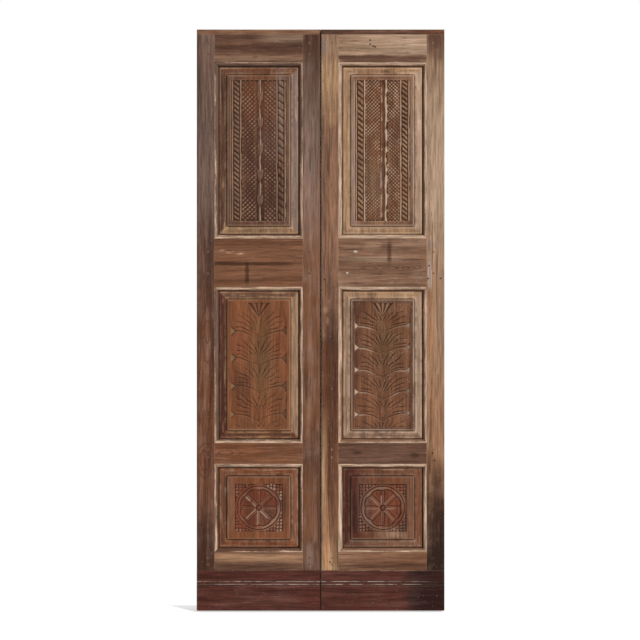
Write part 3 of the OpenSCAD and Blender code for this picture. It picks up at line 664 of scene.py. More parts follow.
# %% [markdown]
# ## Carving as a field of heights
#
# A carved panel seen from the front is a field of heights: one depth for every point of the board. That
# is easy to write with arrays. A mould of the raised panel comes first: a flat margin under the moulding,
# a bevel that climbs inwards, a small step, and the field. Cuts are then sunk into the field. All depths
# are in millimetres behind the face of the leaf, and x and z are measured from the panel's middle.

# %% Raised panel
OPENING_W = 324.0
TONGUE = 9.8
PANEL_BACK = 24.8
STEPS_IN = [-TONGUE, 16.0, 17.0, 21, 30, 40, 45.5, 47, 52]
STEPS_DEPTH = [13.2, 13.2, 10.2, 9.5, 8.6, 7.4, 6.8, 3.3, 3.0]
FIELD_INSET = 48.0
GRID = 1.7
MITRE_SOFT = 9.0


def blur(field, width):
    """Softens an array; width is in grid steps."""
    reach = int(3 * width) + 1
    taps = np.exp(-0.5 * (np.arange(-reach, reach + 1) / width) ** 2)
    taps /= taps.sum()
    for axis in (0, 1):
        pad = [(reach, reach) if a == axis else (0, 0) for a in (0, 1)]
        wide = np.pad(field, pad, mode="edge")
        length = field.shape[axis]
        field = sum(tap * np.take(wide, range(i, i + length), axis) for i, tap in enumerate(taps))
    return field


def wander(shape, cell, seed):
    """Smooth random numbers about 0, with bumps about cell grid steps wide."""
    speckle = np.random.default_rng(seed).normal(size=shape)
    smooth = blur(speckle, cell / 2)
    return smooth / smooth.std()


def raised_panel(x, z, height):
    """Depth of a plain raised panel, how far in each point lies, and how much it belongs to a side."""
    side = OPENING_W / 2 - np.abs(x)
    end = height / 2 - np.abs(z)
    share = np.clip(0.5 + 0.5 * (end - side) / MITRE_SOFT, 0, 1)
    inward = np.minimum(side, end)
    return np.interp(inward, STEPS_IN, STEPS_DEPTH), inward, share


def smooth_step(value, low, high):
    """0 below low, 1 above high, and a soft climb between them."""
    share = np.clip((value - low) / (high - low), 0, 1)
    return share * share * (3 - 2 * share)


def groove(value, at, width):
    """1 along the line where value is at, fading out within width."""
    return np.exp(-(((value - at) / width) ** 2))


field_w = OPENING_W - 2 * FIELD_INSET
print("raised field is", field_w, "mm wide; grid step", GRID, "mm")

# %% [markdown]
# ## Upper panels: ropes, scales and a vine
#
# From each side there is a twisted rope between two plain ridges, then a band of scales, and a vine
# climbs in the middle. A rope is a dome whose height dips along slanting lines. Scales are what two sets
# of slanting cuts leave standing. Heights run from 0, the sunk ground, to 1, the face of the field.

# %% Ropes, scales and vines
ROPE_W = 21.0
ROPE_LEAN = 0.72
SECOND_STEM_W = 6.0


def ridge(x, middle, width):
    """A rounded rib, 1 on its crest."""
    return np.clip(1 - (np.abs(x - middle) / (width / 2)) ** 2, 0, 1) ** 0.5


def rope(x, z, middle, pitch, wobble):
    """A twisted cord, with thin slanting grooves between its strands."""
    across = np.clip(np.abs(x - middle) / (ROPE_W / 2), 0, 1)
    turn = (z + ROPE_LEAN * (x - middle) + wobble) / pitch
    strand = np.abs(np.cos(np.pi * turn)) ** 0.7
    return 0.95 * np.sqrt(1 - across**4) * strand


def scales(x, z, look, wobble, rough):
    """Raised dots between two sets of slanting cuts. The set that climbs to the vine is stronger."""
    up = np.abs(np.sin(np.pi * (x + z + 1.5 * wobble) / look["scale_pitch"]))
    down = np.abs(np.sin(np.pi * (x - z - 1.5 * wobble) / look["scale_pitch"]))
    lean = 0.3 * np.tanh((x - look["vine_at"]) / 15)
    relief = 0.4 + 0.1 * np.tanh(wobble) + 0.08 * np.tanh(rough)
    return 0.42 + relief * up ** (1.2 * (1 + lean)) * down ** (1.2 * (1 - lean))


def vine(x, z, look, wobble, rough):
    """An uneven stem with lobes on one side or on both, and a weaker second stem."""
    from_node = z - np.round(z / look["node_pitch"]) * look["node_pitch"]
    wave = look["swing"] * np.sin(2 * np.pi * z / look["vine_wave"])
    middle = look["vine_at"] + wave + 0.6 * wobble + 0.7 * rough
    stem = ridge(x, middle, 2 * look["vine_r"] * (1 + 0.25 * np.tanh(rough)))
    out = np.abs(x - middle) if look["both_sides"] else x - middle
    lobe_w, lobe_h = look["lobe"]
    lobe_out = (out - look["vine_r"] - 0.6 * lobe_w) / lobe_w
    far = np.hypot(lobe_out, (from_node - look["lobe_lift"] * out) / lobe_h)
    lobe = np.sqrt(np.clip(1 - far**2, 0, 1)) * (1 - 0.45 * groove(far, 0, 0.4))
    second = 0.6 * ridge(x, look["second_at"] + 0.8 * wobble + rough, SECOND_STEM_W)
    return stem, second, lobe


print("ropes lean", round(math.degrees(math.atan(ROPE_LEAN))), "degrees")

# %% Carving of the upper panels
BAND_SIDE = 13.0
BAND_END = 16.0
ROPE_AT = 81.5
RIDGES_AT = (66.5, 96.5)
RIDGE_W = 5.0
SCALES_TO = 62.0
CHANNEL_LEVEL = 0.35


def carve_upper(x, z, height, look, wobble, rough):
    """Heights of the carved bands, where they are, and what is rubbed pale."""
    half_w = field_w / 2 - BAND_SIDE
    inside = (np.abs(x) < half_w) & (np.abs(z) < height / 2 - FIELD_INSET - BAND_END)
    carved = np.zeros_like(x)
    pale = np.zeros_like(x)
    worn = 0.75 + 0.25 * np.tanh(2 * rough)
    for way, pitch in ((-1, look["left_rope"]), (1, look["right_rope"])):
        carved = np.maximum(carved, rope(x, z, way * ROPE_AT, pitch, 2.5 * wobble))
        for at in RIDGES_AT:
            rib = ridge(x, way * at + 0.5 * wobble + 0.4 * rough, RIDGE_W)
            carved = np.maximum(carved, 0.95 * rib)
            pale = np.maximum(pale, rib**0.5 * look["ridges_pale"][way, at] * worn)
    low, high = look["channel"]
    in_scales = (np.abs(x) < SCALES_TO) & ((x < low) | (x > high))
    carved = np.where(in_scales, scales(x, z, look, wobble, rough), carved)
    dots = look["dots_pale"] * smooth_step(carved, 0.6, 0.78) * in_scales
    dots *= smooth_step(wobble + rough, -0.8, 1.4)
    stem, second, lobe = vine(x, z, look, wobble, rough)
    stems = np.maximum.reduce([CHANNEL_LEVEL + 0 * x, stem, second])
    carved = np.where((x >= low) & (x <= high), stems, carved)
    carved = np.maximum.reduce([carved, stem * (stem > 0.62), 0.9 * lobe])
    for crumbs_x, crumbs_z, half_x, half_z in look["crumbs"]:
        near = np.hypot((x - crumbs_x) / half_x, (z - crumbs_z) / half_z) + 0.3 * wobble
        pale = np.maximum(pale, smooth_step(carved, 0.5, 0.8) * smooth_step(-near, -1.1, -0.7))
    node_turn = 2 * np.pi * z / look["node_pitch"]
    bare = look["vine_pale"] * smooth_step(stem, 0.55, 0.85) * smooth_step(rough, -1.6, 0.1)
    bare *= 1 - look["vine_gaps"] * smooth_step(np.cos(node_turn), -0.1, 0.6)
    broken = look["second_pale"] * smooth_step(second, 0.3, 0.55) * smooth_step(rough - wobble, -0.2, 1.0)
    lobes = look["lobe_pale"] * smooth_step(lobe, 0.3, 0.8)
    return carved, inside, np.maximum.reduce([pale, bare, dots, broken, lobes]) * inside


print("ropes lie", ROPE_AT, "mm out from the middle, between ridges at", RIDGES_AT)

# %% [markdown]
# ## Middle panels: climbing leaves
#
# Pairs of leaves climb from a middle stem. A point belongs to the leaf whose number falls out of its
# height, after the leaf's own climb is taken away. What is left over says where the point lies between
# the leaf's lower and upper edge, and that drives the tilt and the lobe. The veins fan out from each
# leaf's foot, so they are written in polar terms.

# %% Veins of a leaf
FAN_STEP = 13.0
FAN_BEND = 0.2
VEIN_HALF = 2.8


def fan_of_veins(out, up, leaf_w, leaf_h, leaf_number, rough):
    """Spindle-shaped cuts that fan out from the foot of a leaf and bend outwards."""
    far = np.hypot(out, up)
    angle = np.arctan2(up, out + 0.1)
    turn = (np.degrees(angle) + FAN_BEND * far) / FAN_STEP + 0.1 * rough
    line = np.round(turn)
    gap = np.abs(turn - line) * np.radians(FAN_STEP) * far
    leaf_end = np.minimum(leaf_w / np.cos(np.clip(angle, 0, 1.5)), leaf_h / np.sin(np.clip(angle, 0.1, 2)))
    start = 0.3 + 0.08 * np.sin(7 * line + 3 * leaf_number)
    stop = 0.88 + 0.06 * np.sin(5 * line + leaf_number)
    share = np.clip((far / leaf_end - start) / (stop - start), 0, 1)
    width = np.maximum(VEIN_HALF * np.sin(np.pi * share) ** 0.8, 0.1)
    return np.clip(1 - (gap / width) ** 2, 0, 1) * (0.75 + 0.25 * np.tanh(rough))


print("veins fan out every", FAN_STEP, "degrees")

# %% Carving of the middle panels
FOLIAGE_MARGIN = 12.0
FOLIAGE_RISE = 28.0
NOTCH_D = 20.0
NOTCH_SHARE = 0.22
LEAF_CUT = 3.0
BUD_H = 48.0
BUD_HALF = 37.0
PETAL_STEP = 0.4


def carve_middle(x, z, height, look, wobble, rough):
    """Heights of the leaves, where they are, and what is pale: rubbed notches, and a painted highlight
    along the leaves' upper edges and the bud's tips.
    """
    half_w = field_w / 2 - FOLIAGE_MARGIN
    half_h = height / 2 - FIELD_INSET - FOLIAGE_MARGIN
    inside = (np.abs(x) < half_w) & (np.abs(z) < half_h)
    out = np.abs(x + 2.0 * wobble)
    notch_x = half_w - LEAF_CUT / 2 - NOTCH_D
    climb = FOLIAGE_RISE * np.sin(np.pi / 2 * np.clip(out / notch_x, 0, 1))
    pitch = look["leaf_pitch"]
    lift = z + 3.0 * wobble - half_h + FOLIAGE_RISE
    number = (lift - climb) / pitch
    leaf_number = np.minimum(np.floor(number), -1)
    share = number - leaf_number
    bud_up = z - half_h + BUD_H
    above_v = bud_up - BUD_H * np.clip(out / BUD_HALF, 0, 2) ** 1.2
    top_half = (leaf_number == -1) & (share > 0.5)
    edge = np.where(top_half, np.abs(above_v), np.minimum(share, 1 - share) * pitch)
    reach = notch_x + (NOTCH_D + LEAF_CUT) * np.clip(edge / (NOTCH_SHARE * pitch), 0, 1) ** 0.75
    along = out / np.where(top_half, half_w + LEAF_CUT, reach)
    lobe = (along < 1) & (above_v < 0)

    tilt = 0.66 + 0.3 * smooth_step(share, 0.0, 0.9)
    rounding = np.sqrt(np.clip(1 - (np.clip(along - 0.88, 0, 1) / 0.2) ** 2, 0.6, 1))
    seam_cut = (1 - smooth_step(edge, LEAF_CUT / 5, LEAF_CUT)) * (0.25 + 0.75 * smooth_step(out, 10, 70))
    foot_up = lift - (leaf_number + 0.1) * pitch
    vein = fan_of_veins(out, foot_up, half_w, 0.9 * pitch + 0.6 * FOLIAGE_RISE, leaf_number, rough)
    vein *= smooth_step(edge, 3, 8) * smooth_step(1 - along, 0.04, 0.14)
    leaf = tilt * rounding - 0.5 * vein - 0.7 * seam_cut * (0.75 + 0.25 * np.tanh(rough))
    carved = np.where(lobe, np.clip(leaf, 0.05, 1), 0)

    spread = np.abs(np.arctan2(x, np.maximum(bud_up, 0.1))) / PETAL_STEP
    petal = np.abs(spread - np.round(spread)) * 2
    bud = (1 - petal) ** 0.7 * smooth_step(bud_up, 0, 6) * (above_v >= 0)
    notch = (~lobe & (above_v < 0)) * np.where(x < 0, look["left_notch"], look["right_notch"])
    notch = notch * smooth_step(along, 1.0, 1.08) * smooth_step(wobble, -1.8, -0.2)
    # A pale line just under each leaf's upper edge, and on the bud's tips, is a painted highlight from the
    # light above.
    crest = groove((1 - share) * pitch, 2.5, 1.6) * smooth_step(out, 20, 60) * lobe * ~top_half
    crest *= look["crest_highlight"] * smooth_step(wobble, -0.8, 0.8)
    pale = np.maximum.reduce([notch, crest, 0.4 * look["crest_highlight"] * smooth_step(bud, 0.7, 1)])
    return np.maximum(carved, 0.85 * bud), inside, pale * inside


print("leaves climb", FOLIAGE_RISE, "mm on their way out; notches are", NOTCH_D, "mm deep")

# %% [markdown]
# ## Lower panels: a wheel in a square
#
# The wheel is written in polar terms: a ring is a band of the radius, and spokes repeat with the angle.
# Thin grooves run along both sides of every spoke and of the ring. The corners of the square are filled
# with small pyramids, which is what crossing chisel cuts leave behind.

# %% Carving of the lower panels
ROSETTE_SIDE = 174.0
RING_R = 79.0
RING_W = 9.0
PETAL_DIP = 5.0
HUB_R = 8.0
SPOKES = 8
SPOKE_W = 11.0
CHIP_PITCH = 12.0
WHEEL_LEVEL = 0.66


def carve_lower(x, z, height, look, wobble, rough):
    """Like the other carvings, but the wheel has one size, whatever the panel's height. Its pale share
    includes a painted highlight on the lit side of the spokes.
    """
    half = ROSETTE_SIDE / 2
    inside = (np.abs(x) < half) & (np.abs(z) < half)
    radius = np.hypot(x, z) + 0.7 * wobble + 0.4 * rough
    slice_angle = 2 * np.pi / SPOKES
    turn = np.arctan2(x, z) + 0.015 * wobble
    spoke_number = np.round(turn / slice_angle).astype(int)
    spoke_angle = spoke_number * slice_angle
    across = radius * np.sin(turn - spoke_angle) + 0.5 * rough
    from_spoke = np.abs(across)
    inner_r = RING_R - RING_W - PETAL_DIP * np.abs(np.cos(turn * SPOKES / 2)) ** 4
    on_spoke = smooth_step(radius, HUB_R + 2, HUB_R + 5) * smooth_step(inner_r - radius, 1, 6)
    ring = smooth_step(radius - inner_r, 0, 2) * smooth_step(RING_R - radius, 0, 2)
    hub = np.sqrt(np.clip(1 - (radius / HUB_R) ** 2, 0, 1))
    deeper = 0.65 + 0.35 * np.tanh(1.2 * wobble + 0.6 * rough)
    lit_side = across * (0.4 * np.sin(spoke_angle) - np.cos(spoke_angle)) > 0
    to_petal = radius * np.sin(np.abs(turn - spoke_angle) - slice_angle / 2)
    cuts = np.maximum.reduce([
        groove(radius, RING_R + 1, 2.6), groove(radius, inner_r - 1, 2.4), groove(radius, HUB_R + 1.5, 2.2),
        groove(from_spoke, SPOKE_W / 2 + 1, 2.3) * np.where(lit_side, 0.45, 1) * on_spoke,
        0.4 * groove(across, 0, 1.8) * on_spoke,
        0.45 * groove(to_petal, 0, 1.8) * on_spoke * smooth_step(radius, 32, 44)])
    raised = np.maximum(ring, on_spoke * (from_spoke < SPOKE_W / 2))
    wheel = WHEEL_LEVEL + 0.25 * raised + 0.3 * hub - 0.62 * cuts * deeper

    chip_x = np.abs((half - np.abs(x) + 1.2 * wobble) % CHIP_PITCH - CHIP_PITCH / 2)
    chip_z = np.abs((half - np.abs(z) + 1.2 * rough) % CHIP_PITCH - CHIP_PITCH / 2)
    corner = smooth_step(radius, RING_R + 1, RING_R + 4)
    far_corner = smooth_step(radius, RING_R + 3, RING_R + 10)
    chip_cut = (np.maximum(chip_x, chip_z) / (CHIP_PITCH / 2)) ** 1.3 * (0.65 + 0.35 * deeper)
    chips = 0.9 - 0.75 * chip_cut * far_corner

    spoke_highlight = np.array(look["spoke_highlights"])[spoke_number % SPOKES]
    # Pale lines on the lit side of each spoke are a painted highlight.
    edges = groove(from_spoke, SPOKE_W / 2 - 1, 1.9) * np.where(lit_side, 1, 0.15) * on_spoke
    tips = corner * smooth_step(chips, 0.4, 0.8)
    rim = smooth_step(x, half - 12, half - 7) + far_corner * (x > 0) * (z > 0)
    pale = np.maximum.reduce([
        spoke_highlight * edges * smooth_step(rough, -1.8, 0), 0.3 * ring * smooth_step(wobble, -0.8, 1.2),
        look["corner_pale"] * tips * far_corner * smooth_step(wobble + rough, -0.6, 1.4),
        look["rim_pale"] * np.clip(rim, 0, 1) * smooth_step(rough, -0.9, 0.7) * tips])
    return np.clip(wheel * (1 - corner) + chips * corner, 0, 1), inside, pale * inside


print("the wheel has", SPOKES, "spokes inside a ring of", RING_R, "mm")

# %% [markdown]
# ## From heights to a mesh
#
# The height field becomes a grid of points. Its outer edge is folded back to the panel's back, so that the
# piece is a closed board with its tongue, in the same place as the solid that it stands for. Each point
# also keeps what the paint needs to know: how proud it stands, how deep it lies, whether it is carved, on
# which of the four bevels it lies, where the painted shadow at the foot of the step falls, and where old
# paint and bare wood are.

# %% Grid meshes
def grid_mesh(name, xs, ys, zs, back_y):
    """A closed board whose front is the grid ys over xs and zs."""
    rows, columns = ys.shape
    gx, gz = np.meshgrid(xs, zs)
    front = np.stack([gx, ys, gz], -1).reshape(-1, 3)
    ids = np.arange(rows * columns).reshape(rows, columns)
    cells = np.stack([ids[:-1, :-1], ids[:-1, 1:], ids[1:, 1:], ids[1:, :-1]], -1).reshape(-1, 4)
    rim = np.concatenate([ids[0, :-1], ids[:-1, -1], ids[-1, :0:-1], ids[:0:-1, 0]])
    behind = front[rim].copy()
    behind[:, 1] = back_y
    ring = np.arange(len(rim)) + len(front)
    walls = np.stack([rim, ring, np.roll(ring, -1), np.roll(rim, -1)], -1)
    mesh = bpy.data.meshes.new(name)
    faces = cells.tolist() + walls.tolist() + [ring.tolist()]
    mesh.from_pydata(np.concatenate([front, behind]).tolist(), [], faces)
    smooth = np.zeros(len(mesh.polygons), bool)
    smooth[: len(cells)] = True
    mesh.polygons.foreach_set("use_smooth", smooth)
    mesh.update()
    return mesh, len(behind)


def keep_number(mesh, name, field, extra):
    """Stores one number at each point of the grid, and 0 at the points behind."""
    values = np.concatenate([field.ravel(), np.zeros(extra)]).astype(np.float32)
    mesh.attributes.new(name, "FLOAT", "POINT").data.foreach_set("value", values)


print("a panel's back lies", PANEL_BACK, "mm behind the face")

# %% Panel meshes
WOBBLE_CELL = 22
ROUGH_CELL = 8
TOOL_CELL = 5
TOOL_MARKS = 0.12
HAND_SWELL = 0.1
PANEL_ROUND = 0.55
UNDER_MOULDING = 10
NEAR_REACH = 1.6
BROAD_REACH = 6
PROUD_FULL = 0.9
SUNK_FULL = 0.7
HOLLOW_FULL = 2.2
FOOT_OF_STEP = 44.5
TOP_OF_STEP = 48.5
PALE_BAND = 39.0
OUTER_BAND = 20.0
OLD_PAINT_AT = 30.0


def by_side(values, beside, above):
    """Numbers for the left, right, top and bottom bevels, laid out over the panel."""
    left, right, top, bottom = values
    return (left * np.clip(-beside, 0, 1) + right * np.clip(beside, 0, 1)
            + top * np.clip(above, 0, 1) + bottom * np.clip(-above, 0, 1))


def carved_panel(node, carve, look, seed, deep, dirt_and_shade, bared, old):
    """A finely carved board in place of the solid. dirt_and_shade, bared and old are shares for the four
    bevels; dirt_and_shade sets the painted shadow at the foot of the step.
    """
    low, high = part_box(node)
    middle = (low + high) / 2
    height = (high.z - low.z) / MM - 2 * TONGUE
    half_x = (high.x - low.x) / MM / 2
    half_z = (high.z - low.z) / MM / 2
    xs = np.linspace(-half_x, half_x, int(2 * half_x / GRID) + 1)
    zs = np.linspace(-half_z, half_z, int(2 * half_z / GRID) + 1)
    x, z = np.meshgrid(xs, zs)
    depth, inward, on_side = raised_panel(x, z, height)
    wobble = wander(x.shape, WOBBLE_CELL, seed)
    rough = wander(x.shape, ROUGH_CELL, seed + 3)
    carved, inside, pale = carve(x, z, height, look, wobble, rough)
    depth = blur(np.where(inside, depth + deep * (1 - carved), depth), PANEL_ROUND)
    field_only = smooth_step(inward, FIELD_INSET - 6, FIELD_INSET)
    tool_marks = TOOL_MARKS * wander(x.shape, TOOL_CELL, seed + 1) * smooth_step(inward, 18, 24)
    depth += tool_marks + HAND_SWELL * wobble * field_only
    depth = np.where(inward < UNDER_MOULDING, STEPS_DEPTH[0], depth)

    near = blur(depth, NEAR_REACH)
    sunk = np.clip((depth - near) / SUNK_FULL, 0, 1)
    hollow = np.clip((depth - blur(depth, BROAD_REACH)) / HOLLOW_FULL, 0, 1)
    beside = np.sign(x) * on_side
    above = np.sign(z) * (1 - on_side)
    bevel = 1 - field_only
    # Painted shadow along the foot of the step, with a share for each side. The left side, away from the
    # sun, gets the most.
    grime = by_side(dirt_and_shade, beside, above) * groove(inward, FOOT_OF_STEP, 2.4)
    bands = groove(inward, PALE_BAND, 3.0) + groove(inward, OUTER_BAND, 3.0)
    rubbed = np.maximum(groove(inward, TOP_OF_STEP, 1.5), 0.8 * bands * smooth_step(rough, -1.4, 0.6))
    pale = np.maximum(pale, by_side(bared, beside, above) * rubbed * smooth_step(wobble, -1.5, 0.5))
    mesh, extra = grid_mesh(node + "_carved", middle.x + xs * MM, face_y + depth * MM, middle.z + zs * MM,
                            face_y + PANEL_BACK * MM)
    kept = {
        "proud": np.clip((near - depth) / PROUD_FULL, 0, 1),
        "sunk": np.maximum(sunk, hollow),
        "carved": blur(inside * 1.0, 1.0),
        "beside": beside * bevel,
        "above": above * bevel,
        "grime": grime * (0.8 + 0.2 * np.tanh(wobble)),
        "old": by_side(old, beside, above) * smooth_step(-np.abs(inward - OLD_PAINT_AT), -11, -6),
        "pale": blur(pale, 0.6),
    }
    for name, field in kept.items():
        keep_number(mesh, name, field, extra)
    piece = show(node + "_carved", mesh)
    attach(piece, node.split("_")[0] + "_leaf")
    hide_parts(node)
    return piece


print("old paint stays", OLD_PAINT_AT, "mm in from the opening")

# %% [markdown]
# ## Paint on the carving
#
# The carving was painted once and has been rubbed ever since. Each bevel has its own tone: weather
# reaches the lower ones more, the left ones carry painted shade and the right ones painted light, as from
# the sun on the right. In the carved part the ground stays dark, soot and painted shade fill the cuts,
# the tips are rubbed pale, and flecks of an old pale paint stay behind.

# %% Carved wood
STREAKS = (110, 4, 0.6)
CUT_REACH = 8 * MM
BEVEL_SIDES = (("beside", -1.0), ("beside", 1.0), ("above", 1.0), ("above", -1.0))


def carved_wood(name, shift, field, ground, tip, bevels, old_paint="umber", residue=0.2, soot=0.85,
                pale="bare_wood", veil="umber", veil_share=0.5, streaks="pale_tan", stains=()):
    """Worn paint on a carved panel. bevels are the tones on the left, right, top and bottom."""
    paint = Paint(name, roughness=0.58)
    fine, fibres, bands, blots, flecks = wood_noises(
        paint, "z", shift, fine_squeeze=0.06, blot_scale=14, fleck_squeeze=0.7)
    clouds = paint.noise(paint.stretch((1, 1, 0.6), 2 * shift), 9, 3, 0.5)
    across, runs = [paint.noise(grain_place(paint, along, shift), *STREAKS) for along in ("x", "z")]
    tint = paint.mix(paint.stored("carved"), field, ground)
    tint = paint.mix(paint.fade(clouds, 0.47, 0.62, 0.0, veil_share), tint, veil)
    # Bevel tones are partly worn paint and partly painted light: darker on the left bevels as painted
    # shade, lighter on the right ones.
    for (stored, way), tone in zip(BEVEL_SIDES, bevels):
        tint = paint.mix(paint.fade(paint.times(paint.stored(stored), way), 0.1, 0.7), tint, tone)
    level, upright = [paint.calc("ABSOLUTE", paint.stored(stored)) for stored in ("above", "beside")]
    streak = paint.blend((level, across), (upright, runs))
    kept = paint.blend((streak, 0.75), (blots, 0.45))
    bared = paint.times(paint.fade(kept, 0.56, 0.44, 0.0, 0.45), paint.calc("MAXIMUM", level, upright))
    tint = paint.mix(bared, tint, streaks)
    tint = paint.mix(paint.times(paint.fade(kept, 0.48, 0.62), paint.stored("old")), tint, old_paint)
    rubbed = paint.blend((blots, 0.55), (fibres, 0.45))
    tint = paint.mix(paint.fade(rubbed, 0.52, 0.68, 0.0, 0.35), tint, tip)
    tint = lay(paint, tint, stains, blots)
    tint, lit = light_fibres(paint, tint, fine, fibres, bands, dark=0.72, light=1.28)

    reached = paint.fade(blots, 0.35, 0.6, 0.3, 1.0)
    proud = paint.times(paint.fade(paint.stored("proud"), 0.12, 0.8), reached)
    tint = paint.mix(paint.times(proud, 0.75), tint, tip)
    # Cuts and hollows darken: partly soot lodged in them, partly painted shade from the sunk and occlusion
    # masks.
    sunk = paint.calc("MAXIMUM", paint.fade(paint.stored("sunk"), 0.1, 0.8), paint.crevice_shade(CUT_REACH))
    tint = paint.mix(paint.times(sunk, soot), tint, "soot")
    # Painted shadow at the foot of the step.
    tint = paint.mix(paint.stored("grime"), tint, "soot")
    tint = paint.mix(paint.times(paint.stored("pale"), 0.9), tint, pale)
    left_over = paint.times(paint.fade(flecks, 0.6, 0.7, 0.0, residue), paint.fade(blots, 0.45, 0.6))
    tint = paint.mix(left_over, tint, "residue")
    return paint.finish(tint, lit, 0.3, matt=blots)


print("bevels are painted in the order left, right, top, bottom")

# %% Looks of the upper panels
PANELS = {
    "left_upper_panel": dict(
        carve=carve_upper, deep=4.5,
        dirt_and_shade=(0.5, 0.3, 0.3, 0.3), bared=(0.5, 0.7, 0.5, 0.5), old=(0.45, 0.4, 0.6, 0.5),
        look=dict(
            left_rope=17.7, right_rope=27.5, scale_pitch=16.5, dots_pale=0.28, channel=(-9, 19), crumbs=[],
            vine_at=5, vine_r=2.6, vine_wave=190, vine_pale=0.9, vine_gaps=0.9, swing=1.0, node_pitch=95,
            both_sides=True, lobe=(5.5, 20.0), lobe_lift=1.6, lobe_pale=0.22, second_at=0, second_pale=0.2,
            ridges_pale={(-1, 66.5): 0.75, (1, 66.5): 0.5, (-1, 96.5): 0.6, (1, 96.5): 0.85}),
        wood=dict(
            field="walnut", ground="umber", tip="honey", residue=0.25, pale="pale_tan", veil="mauve_brown",
            soot=0.88, streaks="straw", bevels=("walnut", "pink_grey", "chestnut", "straw"),
            stains=[Mark(-228, 1900, 60, 100, "rust", 0.5, ragged=3.0),
                    Mark(-190, 1590, 35, 130, "umber", 0.65, ragged=3.0),
                    Mark(-258, 1600, 28, 170, "umber", 0.55, ragged=3.0),
                    Mark(-315, 1700, 16, 220, "mauve_brown", 0.6, 0.6),
                    Mark(-148, 1850, 14, 140, "pink_grey", 0.5, 0.7),
                    Mark(-362, 1930, 3, 50, "soot", 0.6, 0.6)])),
    "right_upper_panel": dict(
        carve=carve_upper, deep=4.5,
        dirt_and_shade=(0.3, 0.2, 0.3, 0.3), bared=(0.7, 0.7, 0.6, 0.7), old=(0.4, 0.3, 0.6, 0.5),
        look=dict(
            left_rope=20.5, right_rope=17.6, scale_pitch=13.2, dots_pale=0.42, channel=(-9, 20),
            crumbs=[(50, 197, 9, 48)],
            vine_at=12, vine_r=4.6, vine_wave=104, vine_pale=0.95, vine_gaps=0.0, swing=1.2, node_pitch=55,
            both_sides=False, lobe=(4.0, 5.0), lobe_lift=0.0, lobe_pale=0.5, second_at=-5, second_pale=0.6,
            ridges_pale={(-1, 66.5): 1.0, (1, 66.5): 0.75, (-1, 96.5): 0.4, (1, 96.5): 0.75}),
        wood=dict(
            field="clay", ground="russet", tip="straw", residue=0.45, veil="walnut", old_paint="clay",
            soot=0.8, streaks="bare_wood", bevels=("straw", "pale_tan", "straw", "straw"),
            stains=[Mark(210, 1900, 60, 80, "russet", 0.75),
                    Mark(195, 1560, 35, 100, "tan", 0.3),
                    Mark(122, 1700, 7, 270, "pink_grey", 0.8, 0.5),
                    Mark(306, 1840, 14, 70, "soot", 0.5),
                    Mark(345, 1690, 12, 100, "pink_grey", 0.6),
                    Mark(236, 1987, 14, 6, "umber", 0.7)])),
}
print("upper panels:", len(PANELS))

# %% Looks of the middle panels
PANELS.update({
    "left_middle_panel": dict(
        carve=carve_middle, deep=4.0,
        dirt_and_shade=(0.6, 0.3, 0.3, 0.6), bared=(0.3, 0.7, 0.7, 0.8), old=(0.5, 0.2, 0.6, 0.85),
        look=dict(leaf_pitch=101, left_notch=0.45, right_notch=0.15, crest_highlight=0.15),
        wood=dict(
            field="rust", ground="rust", tip="chestnut", veil="chestnut", pale="straw",
            soot=0.75, streaks="straw", bevels=("red_oxide", "tan", "clay", "rust"),
            stains=[Mark(-290, 830, 30, 50, "umber", 0.6),
                    Mark(-210, 930, 35, 140, "olive", 0.6, ragged=3.0),
                    Mark(-300, 975, 20, 30, "brick", 0.6),
                    Mark(-160, 980, 20, 40, "brick", 0.5)])),
    "right_middle_panel": dict(
        carve=carve_middle, deep=4.8,
        dirt_and_shade=(0.5, 0.3, 0.4, 0.4), bared=(0.9, 0.9, 0.6, 0.9), old=(0.3, 0.2, 0.3, 0.8),
        look=dict(leaf_pitch=81, left_notch=1.0, right_notch=0.5, crest_highlight=0.8),
        wood=dict(
            field="walnut", ground="chestnut", tip="clay", residue=0.35, veil="russet",
            old_paint="mauve_brown", soot=0.8, streaks="bare_wood",
            bevels=("tan", "pale_tan", "straw", "tan"),
            stains=[Mark(132, 950, 8, 220, "umber", 0.6, 0.6),
                    Mark(150, 1120, 30, 30, "umber", 0.6),
                    Mark(188, 1161, 12, 10, "umber", 0.6),
                    Mark(250, 1000, 50, 110, "olive", 0.5, ragged=3.0),
                    Mark(260, 1060, 30, 20, "brick", 0.4)])),
})
print("upper and middle panels:", len(PANELS))

